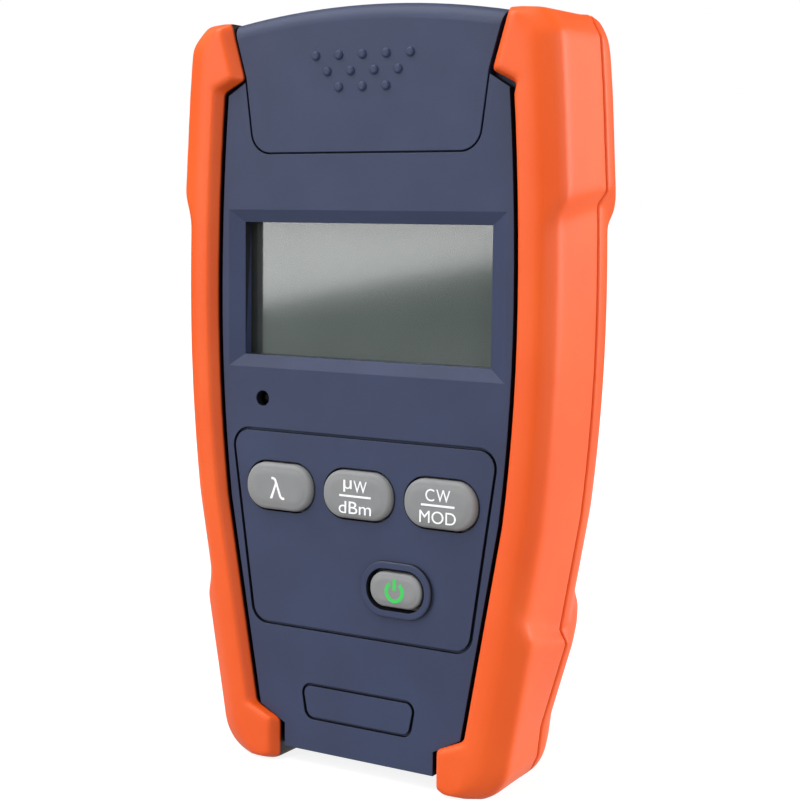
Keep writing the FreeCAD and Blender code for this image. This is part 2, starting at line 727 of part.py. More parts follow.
def key_openings(body, d, lv):
    ring = d.power_play + d.bezel_width
    add(body, "power_bezel", "front",
        [stadium(d.power_x, d.power_z, d.power_half, d.power_high, ring)],
        lv.panel, lv.panel - d.bezel_rise)
    rim = (lv.panel - d.bezel_rise).value
    soften(body, "power_bezel_edge", "Fillet", d.bezel_edge,
           lambda edge: all(abs(v.Point.y - rim) < NEAR for v in edge.Vertexes))
    holes = [stadium(x, z, d.key_half, d.key_high, d.key_play) for x, z in key_places(d)]
    cut(body, "key_holes", "front", holes, lv.panel, lv.inside)
    cut(body, "power_hole", "front",
        [stadium(d.power_x, d.power_z, d.power_half, d.power_high, d.power_play)],
        lv.panel - d.bezel_rise, lv.inside)
    cut(body, "lamp_hole", "front", [Round(-d.lead_x, d.lead_z, d.lead_radius)],
        lv.panel, lv.inside)


NEAR = 1e-3


def port_openings(body, d, lv):
    """The stem hole and the two screw holes in the deck."""
    middle = nought(d.port_y)
    cut(body, "port_hole", "top", [Round(middle, d.port_y, d.port_stem + d.port_play)],
        d.deck_top, d.deck_top - d.wall)
    screws = [Round(d.port_screw_gap, d.port_y - d.port_screw_gap, d.port_screw + d.thread_play),
              Round(-d.port_screw_gap, d.port_y - d.port_screw_gap,
                    d.port_screw + d.thread_play)]
    cut(body, "port_screw_holes", "top", screws, d.deck_top, d.deck_top - d.wall)


def rear_shell(doc, d, lv):
    """Rear half of the case: battery bay, screw towers, hinge ears and the wall behind them."""
    body = new_body(doc, "rear_shell")
    none = nought(d.wall)
    add(body, "case", "front", [case_outline(d, d.case_margin, none)],
        lv.parting, lv.rear_taper)
    blend(body, "AdditiveLoft", "case_taper", [
        (lv.rear_taper, case_outline(d, d.case_margin, none)),
        (lv.rear_shoulder, case_outline(d, d.rear_margin, none)),
    ])
    add(body, "rear_panel", "front", [panel_outline(d)], lv.rear_shoulder, lv.rear_panel)
    screen_top = d.hinge_z - d.barrel_radius
    add(body, "hinge_screen", "front", [hinge_screen_outline(d, screen_top)],
        lv.rear_panel, d.hinge_y + d.barrel_radius + d.screen_gap)
    roof = d.deck_top - d.wall
    cut(body, "hollow", "front", [cavity_outline(d, d.case_margin, roof)],
        lv.parting, lv.rear_taper)
    blend(body, "SubtractiveLoft", "rear_hollow", [
        (lv.rear_taper, cavity_outline(d, d.case_margin, roof)),
        (lv.rear_panel - d.wall, cavity_outline(d, d.rear_margin, roof)),
    ])
    battery_bay(body, d, lv)
    add(body, "screw_towers", "front",
        circles(case_screw_places(d), d.screw_head + d.head_play + d.tower_wall),
        lv.parting, lv.rear_panel - d.wall / 2)
    cut(body, "head_holes", "front", circles(case_screw_places(d), d.screw_head + d.head_play),
        lv.rear_panel, lv.screw_seat)
    cut(body, "shank_holes", "front",
        circles(case_screw_places(d), d.screw_shank + d.head_play),
        lv.screw_seat, lv.parting)
    hinge_ears(body, d, lv)
    return body


def hinge_screen_outline(d, top):
    lap = d.screen_gap
    return mirrored([
        Corner(cover_side(d, d.deck_top) + d.cover_gap + lap, d.deck_top - d.wall),
        Corner(d.cover_neck + d.cover_gap, d.cover_neck_z),
        Corner(cover_side(d, top) + d.cover_gap, top),
    ])


def battery_bay(body, d, lv):
    middle = nought(d.wall)
    bay_z = (d.bay_base + lv.bay_top) / 2
    bay_high = (lv.bay_top - d.bay_base) / 2
    add(body, "bay_walls", "front",
        [rectangle(middle, bay_z, lv.bay_half + d.bay_wall, bay_high + d.bay_wall)],
        lv.bay_floor - d.bay_wall, lv.rear_panel - d.wall / 2)
    cut(body, "bay", "front", [rectangle(middle, bay_z, lv.bay_half, bay_high)],
        lv.rear_panel, lv.bay_floor)
    cut(body, "door_seat", "front",
        [rectangle(middle, bay_z, lv.door_half + d.door_play, bay_high + d.door_lap + d.door_play)],
        lv.rear_panel, lv.door_inside - d.door_rest)
    reach = lv.door_half + d.trunnion_length + d.door_play
    cut(body, "door_pivots", "side",
        [Round(lv.door_axis_y, lv.door_axis_z, d.trunnion_radius + d.trunnion_play)],
        -reach, reach)


def hinge_ears(body, d, lv):
    front = d.hinge_y - d.barrel_radius
    rear = d.hinge_y + d.barrel_radius
    profile = Outline([
        Corner(front, d.deck_top - d.wall / 2),
        Corner(rear, d.deck_top - d.wall / 2),
        Corner(rear, d.hinge_z, None, d.hinge_z),
        Corner(d.hinge_y, d.hinge_z + d.barrel_radius, None, d.hinge_z),
        Corner(front, d.hinge_z),
    ])
    inner = d.barrel_half + d.ear_gap
    outer = d.cover_neck
    add(body, "ear_right", "side", [profile], inner, outer)
    add(body, "ear_left", "side", [profile], -inner, -outer)
    cut(body, "pin_bore", "side", [Round(d.hinge_y, d.hinge_z, d.pin_radius + d.pin_grip)],
        -outer, outer)


# The rim's corners along the panel's bow, counted from its end.
INNER_BOW = slice(-5, -3)
# The foot's outer corner has a knee: its place as shares of the corner's width and height.
KNEE_ACROSS = 1 / 6
KNEE_UP = 2.6
# How much further the inner side moves outwards round the dust cover than along the panel,
# and how much of that the corners of the hooks move up.
NECK_EASE = 1.6
HOOK_EASE = 1.3
HOOK_UP = 1 / 4


def rim(d, reach, block, lip, top, ground, slope, shift, lean):
    """One bumper in front view at one depth, on the right: outer side up, inner side down.

    reach is the waist's distance from the panel's edge and block what the end blocks add to it;
    lip is how far the inner side has moved outwards; slope and shift place the blocks' ends;
    lean is 0 at the front and 1 from the parting plane on, where the ends are further apart.
    """
    foot = d.edge_foot + reach + block - d.foot_lean * lean
    heel = d.heel_flat - d.foot_lean * lean
    low_end = d.lower_block_z + shift - d.block_dip * lean
    high_end = d.upper_block_z - shift + d.block_lift * lean
    crown = d.edge_top + reach + block
    corner = crown - d.corner_cut - d.toe_round + d.crown_fill * lean
    inner = d.edge_gap + lip - d.rear_close * lean
    neck = d.cover_neck + d.cover_gap + d.seat_gap
    brow = cover_side(d, d.bumper_top) + d.cover_gap + d.seat_gap
    return [
        Corner(d.foot_inner + lip, ground + d.toe_round),
        Corner(d.foot_inner + lip + d.toe_round * 2, ground),
        Corner(foot - heel, ground),
        Corner(foot - heel / 2, ground + d.heel_round),
        Corner(foot - heel * KNEE_ACROSS, ground + d.heel_round * KNEE_UP),
        Corner(foot, d.edge_foot_z),
        Corner(edge_at(d, low_end) + reach + block, low_end),
        Corner(edge_at(d, low_end + slope) + reach, low_end + slope),
        Corner(d.edge_low + reach, d.edge_low_z, None, d.edge_mid_z),
        Corner(d.edge_mid + reach, d.edge_mid_z, None, d.edge_mid_z),
        Corner(edge_at(d, high_end - slope) + reach, high_end - slope),
        Corner(edge_at(d, high_end) + reach + block, high_end),
        Corner(crown, d.edge_top_z),
        Corner(crown - d.toe_round, top - d.corner_cut + lip / 2),
        Corner(corner + lip / 2, top),
        Corner(brow + lip, top),
        Corner(neck + lip * NECK_EASE, d.cover_neck_z + lip / 2),
        Corner(neck + lip * HOOK_EASE, d.hook_tip_z + d.edge_gap / 2 + lip * HOOK_UP),
        Corner(d.edge_top + inner, d.edge_top_z + d.edge_gap / 2 + lip / 2),
        Corner(d.edge_mid + inner, d.edge_mid_z, None, d.edge_mid_z),
        Corner(d.edge_low + inner, d.edge_low_z),
        Corner(d.edge_foot + inner, d.edge_foot_z + lip * HOOK_UP),
        Corner(d.foot_inner + lip, d.foot_hook_z + lip / 2),
    ]


def rim_inner_bow(corners, d):
    """Gives the inner side the same bow as the outer one."""
    for corner in corners[INNER_BOW]:
        corner.bow_level = d.edge_mid_z
    return corners


def one_side(corners, side):
    return Outline(corners if side > 0 else flipped(corners))


def waist(d):
    return d.facet_width + d.edge_gap + d.land_width + d.chamfer_width


def seam_ring(d, side):
    """The bumper's outline at the parting plane."""
    none = nought(d.wall)
    return one_side(rim_inner_bow(rim(
        d, waist(d), d.block_rise, none, d.bumper_top, none, d.seam_slope, none, 1), d), side)


def front_bumper(doc, d, lv, label, side):
    """Front bumper half: a side wall with a front flange, chamfered outside and inside."""
    body = new_body(doc, label)
    none = nought(d.wall)
    base = one_side(rim_inner_bow(rim(
        d, waist(d), d.block_rise, none, d.bumper_top, none, d.block_slope, none, 0), d), side)
    ridge = one_side(rim_inner_bow(rim(
        d, waist(d) - d.chamfer_width, none, d.facet_width, d.bumper_top - d.facet_width,
        d.toe_round, d.toe_round / 2, d.ridge_slope, 0), d), side)
    blend(body, "AdditiveLoft", "side", [
        (lv.parting, seam_ring(d, side)),
        (lv.chamfer_start, base),
    ])
    blend(body, "AdditiveLoft", "front_flange", [
        (lv.chamfer_start, base),
        (lv.ridge, ridge),
    ])
    cut(body, "case_seat", "front", [case_outline(d, d.case_margin, d.seat_gap)],
        lv.parting, lv.shoulder - d.seat_gap)
    return body


# The curl of a rear bumper, section by section: the depth reached, then what it has lost in
# width and what its blocks have kept, both as shares, then the same for the drop of the top,
# the lift of the foot, the height of the blocks' slopes and the shift of the blocks' ends.
CURL = [
    (0.5, 0.47, 1.0, 0.12, 0.0, 0.85, 0.4),
    (0.8, 0.79, 0.95, 0.3, 0.25, 0.8, 0.55),
    (1.0, 1.0, 0.9, 0.8, 1.0, 0.6, 0.7),
]


def rear_bumper(doc, d, lv, label, side):
    """Rear bumper half: a short straight side that curls in to a flat back."""
    body = new_body(doc, label)
    none = nought(d.wall)
    straight = lv.parting + d.side_straight
    add(body, "side", "front", [seam_ring(d, side)], lv.parting, straight)
    rings = [(straight, seam_ring(d, side))]
    for depth, lost, block, drop, lift, slope, shift in CURL:
        corners = rim(d, waist(d) - d.curl * lost, d.block_rise * block, none,
                      d.bumper_top - d.curl * drop, d.heel_lift * lift, d.block_slope * slope,
                      d.ridge_slope * shift, 1)
        level = straight + (lv.back - straight) * depth
        rings.append((level, one_side(rim_inner_bow(corners, d), side)))
    blend(body, "AdditiveLoft", "curl", rings)
    cut(body, "case_seat", "front", [case_outline(d, d.case_margin, d.seat_gap)],
        lv.parting, lv.rear_taper)
    blend(body, "SubtractiveLoft", "taper_seat", [
        (lv.rear_taper, case_outline(d, d.case_margin, d.seat_gap)),
        (lv.rear_shoulder + d.seat_gap, case_outline(d, d.rear_margin, d.seat_gap)),
    ])
    return body


def dust_cover(doc, d, lv):
    """Hinged cover over the optical port: crowned hood with grip bumps and a hinge barrel."""
    body = new_body(doc, "dust_cover")
    none = nought(d.wall)
    add(body, "hood", "front", [cover_outline(d, none, d.cover_base)], lv.panel, lv.cover_back)
    front = lv.panel.value
    soften(body, "nose", "Fillet", d.cover_nose, lambda edge: on_crown(edge, d, front))
    inside = lv.panel + d.cover_wall
    cut(body, "hollow", "front", [cover_outline(d, d.cover_wall, d.cover_base - d.cover_wall)],
        inside, lv.cover_back)
    side_top = d.deck_top + d.cover_gap
    middle_z = (side_top + d.cover_base) / 2
    half_z = (side_top - d.cover_base) / 2
    cut(body, "side_trim", "front", [rectangle(none, middle_z, d.cover_brow, half_z)],
        inside, lv.cover_back)
    grip_bumps(body, d, lv)
    web_start = lv.cover_back - d.cover_wall
    web_top = d.hinge_z + d.barrel_radius + d.web_rise
    web = Outline([
        Corner(web_start, d.hinge_z),
        Corner(d.hinge_y, d.hinge_z),
        Corner(d.hinge_y, d.hinge_z + d.barrel_radius),
        Corner(lv.cover_back, d.hinge_z + d.barrel_radius),
        Corner(lv.cover_back, web_top),
        Corner(web_start, web_top),
    ])
    add(body, "barrel_web", "side", [web], -d.barrel_half, d.barrel_half)
    add(body, "barrel", "side", [Round(d.hinge_y, d.hinge_z, d.barrel_radius)],
        -d.barrel_half, d.barrel_half)
    cut(body, "barrel_bore", "side", [Round(d.hinge_y, d.hinge_z, d.pin_radius + d.pin_play)],
        -d.barrel_half, d.barrel_half)
    return body


def cover_outline(d, inset, base):
    """The cover in front view: flared sides under a crowned top."""
    brow = d.cover_brow - inset
    top = d.cover_brow_z - inset
    crown = d.cover_crown - inset
    rise = crown - top
    radius = (brow * brow + rise * rise) / (rise * 2)
    corner = d.cover_corner if inset.value == 0 else None
    right = [
        Corner(cover_side(d, base) - inset, base, corner),
        Corner(d.cover_neck - inset, d.cover_neck_z),
        Corner(brow, top, None, crown - radius),
    ]
    outline = mirrored(right)
    return outline


def on_crown(edge, d, front):
    """True for the arc along the crown in the cover's front face."""
    brow_z = d.cover_brow_z.value
    at_front = all(abs(v.Point.y - front) < NEAR for v in edge.Vertexes)
    at_brow = all(abs(v.Point.z - brow_z) < NEAR for v in edge.Vertexes)
    return at_front and at_brow


def grip_bumps(body, d, lv):
    """Three rows of low domes, each row one dome shorter and centred under the last."""
    for row, count in enumerate(GRIP_ROWS):
        places = []
        level = d.grip_top_z - d.grip_row * row
        for index in range(count):
            places.append((d.grip_pitch * (index - (count - 1) / 2), level))
        name = "grip_row_%d" % (row + 1)
        add(body, name, "front", circles(places, d.grip_radius), lv.panel,
            lv.panel - d.grip_rise)
    rim_y = (lv.panel - d.grip_rise).value
    soften(body, "grip_domes", "Fillet", d.grip_round,
           lambda edge: all(abs(v.Point.y - rim_y) < NEAR for v in edge.Vertexes))


GRIP_ROWS = (5, 4, 3)


def rod(doc, label, view, places, radius, start, end):
    """Straight round pins of one size."""
    body = new_body(doc, label)
    add(body, "rod", view, circles(places, radius), start, end)
    return body


def cover_hinge_pin(doc, d, lv):
    half = cover_side(d, d.hinge_z) - d.ear_gap * 2
    return rod(doc, "cover_hinge_pin", "side", [(d.hinge_y, d.hinge_z)], d.pin_radius,
               -half, half)


def slab(doc, label, across, up, half, high, start, end):
    body = new_body(doc, label)
    add(body, "plate", "front", [rectangle(across, up, half, high)], start, end)
    return body


def display_parts(doc, d, lv):
    """Clear lens behind the bevel, display cell and backlight in a stack on the board."""
    middle = nought(d.wall)
    half = d.window_half + d.lens_lap
    high = d.window_high + d.lens_lap
    cell_front = lv.lens_back + d.stack_gap
    cell_back = cell_front + d.lcd_thick
    return [
        slab(doc, "display_window", middle, d.screen_z, half, high, lv.lens, lv.lens_back),
        slab(doc, "lcd_panel", middle, d.screen_z, half, high, cell_front, cell_back),
        slab(doc, "lcd_backlight", middle, d.screen_z, half, high,
             cell_back + d.stack_gap, lv.board),
    ]


def key(doc, d, lv, label, across, up, half, high, rise):
    """A key: a domed-edge cap, a retaining flange behind the panel and a short stem."""
    body = new_body(doc, label)
    face = lv.panel - rise
    add(body, "cap", "front", [stadium(across, up, half, high, nought(half))],
        lv.flange_front, face)
    level = face.value
    soften(body, "cap_edge", "Fillet", d.key_edge,
           lambda edge: all(abs(v.Point.y - level) < NEAR for v in edge.Vertexes))
    add(body, "flange", "front", [stadium(across, up, half, high, d.flange_lap)],
        lv.flange_front, lv.flange_back)
    return body


def keys(doc, d, lv):
    made = []
    for label, (across, up) in zip(KEY_LABELS, key_places(d)):
        made.append(key(doc, d, lv, label, across, up, d.key_half, d.key_high, d.key_rise))
    made.append(key(doc, d, lv, "power_button", d.power_x, d.power_z, d.power_half,
                    d.power_high, d.power_rise))
    return made


KEY_LABELS = ("wavelength_button", "unit_button", "mode_button")


def main_board(doc, d, lv):
    """Circuit board: tapered like the case, with a hole for each board screw."""
    body = new_body(doc, "main_board")
    outline = mirrored([
        Corner(d.board_low_half, d.board_low),
        Corner(d.board_top_half, d.board_waist_z),
        Corner(d.board_top_half, d.board_top),
    ])
    add(body, "board", "front", [outline], lv.board, lv.board_back)
    cut(body, "screw_holes", "front", circles(post_places(d), d.small_shank + d.head_play),
        lv.board, lv.board_back)
    return body


def board_screws(doc, d, lv):
    body = new_body(doc, "board_screws")
    add(body, "shanks", "front", circles(post_places(d), d.small_shank),
        lv.board_back, lv.board_back - d.small_grip)
    add(body, "heads", "front", circles(post_places(d), d.small_head),
        lv.board_back, lv.board_back + d.small_head_high)
    return body


def case_screws(doc, d, lv):
    body = new_body(doc, "case_screws")
    add(body, "shanks", "front", circles(case_screw_places(d), d.screw_shank),
        lv.screw_seat, lv.screw_seat - d.screw_length)
    add(body, "heads", "front", circles(case_screw_places(d), d.screw_head),
        lv.screw_seat, lv.screw_seat + d.screw_head_high)
    return body


def tact_switches(doc, d, lv):
    """Four tactile switches on the board, each with a plunger short of its key."""
    body = new_body(doc, "tact_switches")
    places = key_places(d) + [(d.power_x, d.power_z)]
    top = lv.board - d.switch_body
    squares = [rectangle(x, z, d.switch_half, d.switch_half) for x, z in places]
    add(body, "cases", "front", squares, lv.board, top)
    add(body, "plungers", "front", circles(places, d.plunger_radius),
        top, lv.flange_back + d.key_travel + d.stack_gap)
    return body


def status_led(doc, d, lv):
    """Indicator lamp on its spacer, with a rounded tip behind the panel."""
    body = new_body(doc, "status_led")
    place = [(-d.lead_x, d.lead_z)]
    tip = lv.panel + d.lamp_setback
    add(body, "lamp", "front", circles(place, d.lamp_radius), lv.board, tip)
    level = tip.value
    soften(body, "tip", "Fillet", d.lamp_round,
           lambda edge: all(abs(v.Point.y - level) < NEAR for v in edge.Vertexes))
    add(body, "spacer", "front", circles(place, d.spacer_radius), lv.board,
        lv.board - d.switch_body)
    return body


def optical_adapter(doc, d, lv):
    """Port adapter: square flange on the deck, threaded barrel above, stem below, one bore."""
    body = new_body(doc, "optical_adapter")
    middle = nought(d.port_y)
    flange_top = d.deck_top + d.port_flange
    flange = rectangle(middle, d.port_y, d.port_flange_half, d.port_flange_half, d.toe_round)
    add(body, "flange", "top", [flange], d.deck_top, flange_top)
    add(body, "barrel", "top", [Round(middle, d.port_y, d.port_thread)],
        flange_top, flange_top + d.port_height)
    stem_base = d.deck_top - d.wall - d.port_flange
    add(body, "stem", "top", [Round(middle, d.port_y, d.port_stem)], d.deck_top, stem_base)
    top = flange_top + d.port_height
    cut(body, "bore", "top", [Round(middle, d.port_y, d.sleeve_radius + d.seat_gap)],
        top, stem_base)
    cut(body, "screw_holes", "top", port_screws_at(d, d.port_screw + d.seat_gap),
        flange_top, d.deck_top)
    level = top.value
    soften(body, "barrel_edge", "Chamfer", d.groove_depth / 2,
           lambda edge: at_level(edge, level) and edge.Curve.Radius > d.port_thread.value - NEAR)
    return body


def at_level(edge, level):
    return all(abs(v.Point.z - level) < NEAR for v in edge.Vertexes)


def port_screws_at(d, radius):
    forward = d.port_y - d.port_screw_gap
    return [Round(d.port_screw_gap, forward, radius), Round(-d.port_screw_gap, forward, radius)]


def adapter_screws(doc, d, lv):
    body = new_body(doc, "adapter_screws")
    seat = d.deck_top + d.port_flange
    add(body, "shanks", "top", port_screws_at(d, d.port_screw), seat, d.deck_top - d.wall)
    add(body, "heads", "top", port_screws_at(d, d.port_screw_head), seat, seat + d.port_screw)
    return body


def tube(doc, label, across, up, outer, inner, start, end):
    body = new_body(doc, label)
    add(body, "wall", "top", [Round(across, up, outer), Round(across, up, inner)], start, end)
    return body


def port_core(doc, d, lv):
    """Ceramic alignment sleeve in the adapter's bore and the laser can under it."""
    middle = nought(d.port_y)
    top = d.deck_top + d.port_flange + d.port_height - d.sleeve_setback
    base = d.deck_top - d.wall - d.port_flange
    sleeve = tube(doc, "ferrule_sleeve", middle, d.port_y, d.sleeve_radius, d.ferrule_radius,
                  top - d.sleeve_length, top)
    laser = new_body(doc, "laser_module")
    can_top = base - d.stack_gap
    add(laser, "holder", "top", [Round(middle, d.port_y, d.laser_base_radius)],
        can_top, can_top - d.laser_holder)
    add(laser, "can", "top", [Round(middle, d.port_y, d.laser_radius)],
        can_top - d.laser_holder, can_top - d.laser_holder - d.laser_length)
    return [sleeve, laser]


def battery_cells(doc, d, lv):
    """Three cells side by side, the middle one the other way up."""
    body = new_body(doc, "battery_cells")
    places = cell_places(d, lv)
    base = d.bay_base + d.bay_end_room
    nub_low = [places[1]]
    nub_high = [places[0], places[2]]
    low_start = base + d.nub_length
    high_end = base + d.cell_length
    outer = [Round(x, y, d.cell_radius) for x, y in nub_high]
    add(body, "outer_cells", "top", outer, base, high_end)
    add(body, "middle_cell", "top", [Round(*nub_low[0], d.cell_radius)],
        low_start, high_end + d.nub_length)
    add(body, "outer_nubs", "top", [Round(x, y, d.nub_radius) for x, y in nub_high],
        high_end, high_end + d.nub_length)
    add(body, "middle_nub", "top", [Round(*nub_low[0], d.nub_radius)], low_start, base)
    return body


def cell_places(d, lv):
    return [(-d.cell_pitch, lv.cell_y), (nought(d.cell_pitch), lv.cell_y),
            (d.cell_pitch, lv.cell_y)]


def contacts(doc, d, lv, label, wall_z, towards):
    """Bent contact strips at one end of the bay: a foot on the wall and a sprung crown."""
    body = new_body(doc, label)
    thick = d.contact_thick
    near = wall_z + thick * towards
    tip = wall_z + (d.bay_end_room - d.stack_gap) * towards
    foot = d.contact_foot
    bend = d.contact_bend
    crown = d.contact_crown
    profile = Outline([
        Corner(lv.cell_y - foot, wall_z),
        Corner(lv.cell_y + foot, wall_z),
        Corner(lv.cell_y + foot, near),
        Corner(lv.cell_y + bend, near),
        Corner(lv.cell_y + crown, tip),
        Corner(lv.cell_y - crown, tip),
        Corner(lv.cell_y - bend, near),
        Corner(lv.cell_y - foot, near),
    ])
    hollow = Outline([
        Corner(lv.cell_y - bend + thick, wall_z - thick * towards),
        Corner(lv.cell_y + bend - thick, wall_z - thick * towards),
        Corner(lv.cell_y + bend - thick, wall_z),
        Corner(lv.cell_y + crown, tip - thick * towards),
        Corner(lv.cell_y - crown, tip - thick * towards),
        Corner(lv.cell_y - bend + thick, wall_z),
    ])
    for number, (across, depth) in enumerate(cell_places(d, lv), start=1):
        start = across - d.contact_half
        end = across + d.contact_half
        add(body, "strip_%d" % number, "side", [profile], start, end)
        cut(body, "bend_%d" % number, "side", [hollow], start, end)
    return body


def battery_door(doc, d, lv):
    """Battery door: flat plate with rounded lower edge, hinge pins and a snap tongue."""
    body = new_body(doc, "battery_door")
    middle = nought(d.wall)
    middle_z = (lv.door_base + lv.door_top) / 2
    high = (lv.door_top - lv.door_base) / 2
    add(body, "plate", "front", [rectangle(middle, middle_z, lv.door_half, high)],
        lv.door_inside, lv.rear_panel)
    low = lv.door_base.value
    soften(body, "lower_edge", "Fillet", d.door_edge,
           lambda edge: at_level(edge, low) and edge.Length > d.door_thick.value * 2)
    reach = lv.door_half + d.trunnion_length
    add(body, "pivots", "side", [Round(lv.door_axis_y, lv.door_axis_z, d.trunnion_radius)],
        -reach, reach)
    latch_z = lv.bay_top - d.latch_play - d.latch_high
    add(body, "latch", "front",
        [rectangle(middle, latch_z, d.latch_half, d.latch_high)],
        lv.door_inside, lv.door_inside - d.latch_depth)
    grip = [rectangle(middle, lv.door_top - d.grip_inset - d.ridge_pitch * index,
                      d.latch_half, d.groove_width / 2) for index in range(RIDGES)]
    cut(body, "grip_grooves", "front", grip, lv.rear_panel,
        lv.rear_panel - d.groove_depth / 2)
    return body


RIDGES = 4


def build(doc):
    d = Dimensions(doc)
    doc.recompute()
    lv = Levels(d)
    bodies = [
        front_shell(doc, d, lv),
        rear_shell(doc, d, lv),
        front_bumper(doc, d, lv, "front_bumper_right", 1),
        front_bumper(doc, d, lv, "front_bumper_left", -1),
        rear_bumper(doc, d, lv, "rear_bumper_right", 1),
        rear_bumper(doc, d, lv, "rear_bumper_left", -1),
        dust_cover(doc, d, lv),
        cover_hinge_pin(doc, d, lv),
    ]
    bodies += display_parts(doc, d, lv)
    bodies += keys(doc, d, lv)
    bodies += [
        main_board(doc, d, lv),
        board_screws(doc, d, lv),
        case_screws(doc, d, lv),
        tact_switches(doc, d, lv),
        status_led(doc, d, lv),
        optical_adapter(doc, d, lv),
        adapter_screws(doc, d, lv),
    ]
    bodies += port_core(doc, d, lv)
    bodies += [
        battery_cells(doc, d, lv),
        contacts(doc, d, lv, "lower_contacts", d.bay_base, 1),
        contacts(doc, d, lv, "upper_contacts", lv.bay_top, -1),
        battery_door(doc, d, lv),
    ]
    return bodies


def export(doc, bodies):
    """Checks every object and every sub-part, then writes one file for each sub-part."""
    doc.recompute()
    for item in doc.Objects:
        if "Invalid" in item.State or "Error" in item.State:
            raise RuntimeError("%s: %s" % (item.Label, item.State))
    for body in bodies:
        shape = body.Shape
        if shape.isNull() or not shape.isValid() or not shape.Solids:
            raise RuntimeError("%s has no valid solid" % body.Label)
    os.makedirs("parts", exist_ok=True)
    for body in bodies:
        body.Shape.exportStep("parts/%s.step" % body.Label)
        print("%-22s %2d solid(s) %10.1f mm3" % (body.Label, len(body.Shape.Solids),
                                                 body.Shape.Volume))


document = FreeCAD.newDocument("light_source")
export(document, build(document))
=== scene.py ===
import math

import bmesh
import bpy
import numpy as np
from mathutils import Matrix, Vector


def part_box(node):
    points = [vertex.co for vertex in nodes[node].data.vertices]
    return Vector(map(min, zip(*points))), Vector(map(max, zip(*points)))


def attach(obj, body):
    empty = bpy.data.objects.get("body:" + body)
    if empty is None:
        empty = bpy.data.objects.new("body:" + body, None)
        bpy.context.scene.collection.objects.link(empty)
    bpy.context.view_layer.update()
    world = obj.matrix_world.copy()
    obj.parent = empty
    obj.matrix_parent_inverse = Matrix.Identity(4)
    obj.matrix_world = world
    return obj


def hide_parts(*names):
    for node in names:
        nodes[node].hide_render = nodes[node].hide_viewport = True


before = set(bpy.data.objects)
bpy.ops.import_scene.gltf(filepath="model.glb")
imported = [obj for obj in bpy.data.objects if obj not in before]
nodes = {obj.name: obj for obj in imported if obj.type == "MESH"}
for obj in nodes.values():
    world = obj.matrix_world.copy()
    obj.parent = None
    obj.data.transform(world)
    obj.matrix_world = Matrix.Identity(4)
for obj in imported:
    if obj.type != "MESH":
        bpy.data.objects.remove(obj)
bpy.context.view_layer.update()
MM = 0.001

# The two shells
# Moulded in slate-blue plastic with a fine spark-eroded texture. The front one carries the
# panel, the display bevel and the key openings; the rear one holds the batteries and the cap's
# hinge ears. Every edge is slightly eased by the mould.
SLATE = (45, 54, 82)
SLATE_PALE = (50, 60, 90)
RECESS_PAINTED_SHADE = (10, 12, 24)
PANEL_STEP = 2.2 * MM
GROOVE_DEPTH = 1.0 * MM
WINDOW_DEPTH = 3.2 * MM
SHELL_EDGE = 0.22 * MM
SHELL_GRAIN = 0.16 * MM
RECESS_START = 0.1 * MM
RECESS_NEAR = 0.06 * MM
WALL_TILT = 0.6
FLOOR_TILT = 0.995


def colour(srgb):
    """Linear colour of a 0-255 sRGB triple: ((c + 0.055) / 1.055) to the power 2.4."""
    share = np.asarray(srgb, float) / 255
    linear = np.where(share <= 0.04045, share / 12.92, ((share + 0.055) / 1.055) ** 2.4)
    return (*linear.tolist(), 1.0)


def material(name, base, rough, **sockets):
    """A new material; returns it, its node tree and its main shader."""
    made = bpy.data.materials.new(name)
    made.use_nodes = True
    shader = made.node_tree.nodes["Principled BSDF"]
    shader.inputs["Base Color"].default_value = colour(base)
    shader.inputs["Roughness"].default_value = rough
    for socket, value in sockets.items():
        shader.inputs[socket.replace("_", " ")].default_value = value
    made.diffuse_color = colour(base)
    return made, made.node_tree, shader


def noise(tree, size, detail=2.0, rough=0.5):
    """Noise whose features are about that size, in the piece's own coordinates."""
    place = tree.nodes.new("ShaderNodeTexCoord")
    node = tree.nodes.new("ShaderNodeTexNoise")
    node.inputs["Scale"].default_value = 1 / size
    node.inputs["Detail"].default_value = detail
    node.inputs["Roughness"].default_value = rough
    tree.links.new(place.outputs["Object"], node.inputs["Vector"])
    return node.outputs["Fac"]


def ramp(tree, value, stops, smooth=False):
    """Colours along a value: stops are (position, sRGB colour)."""
    node = tree.nodes.new("ShaderNodeValToRGB")
    node.color_ramp.interpolation = "EASE" if smooth else "LINEAR"
    while len(node.color_ramp.elements) < len(stops):
        node.color_ramp.elements.new(0.5)
    for element, (position, shade) in zip(node.color_ramp.elements, stops):
        element.position = position
        element.color = colour(shade)
    tree.links.new(value, node.inputs["Fac"])
    return node.outputs["Color"]


def bump(tree, shader, height, depth, under=None):
    """Raises the surface by depth where height is 1."""
    node = tree.nodes.new("ShaderNodeBump")
    node.inputs["Distance"].default_value = depth
    tree.links.new(height, node.inputs["Height"])
    if under is not None:
        tree.links.new(under, node.inputs["Normal"])
    tree.links.new(node.outputs["Normal"], shader.inputs["Normal"])


def spread(tree, value, low, high, start=0.0, end=1.0):
    """Takes start to end of a value to low to high, and holds it there."""
    node = tree.nodes.new("ShaderNodeMapRange")
    for socket, number in (("From Min", start), ("From Max", end),
                           ("To Min", low), ("To Max", high)):
        node.inputs[socket].default_value = number
    tree.links.new(value, node.inputs["Value"])
    return node.outputs["Result"]


def grained(name, base, rough, size, low, high, **sockets):
    """A material of one colour whose roughness wavers from low to high."""
    made, tree, shader = material(name, base, rough, **sockets)
    tree.links.new(spread(tree, noise(tree, size), low, high), shader.inputs["Roughness"])
    return made


def eased_edges(tree, radius):
    """Normals rounded over the sharp edges by that radius."""
    node = tree.nodes.new("ShaderNodeBevel")
    node.samples = 6
    node.inputs["Radius"].default_value = radius
    return node.outputs["Normal"]


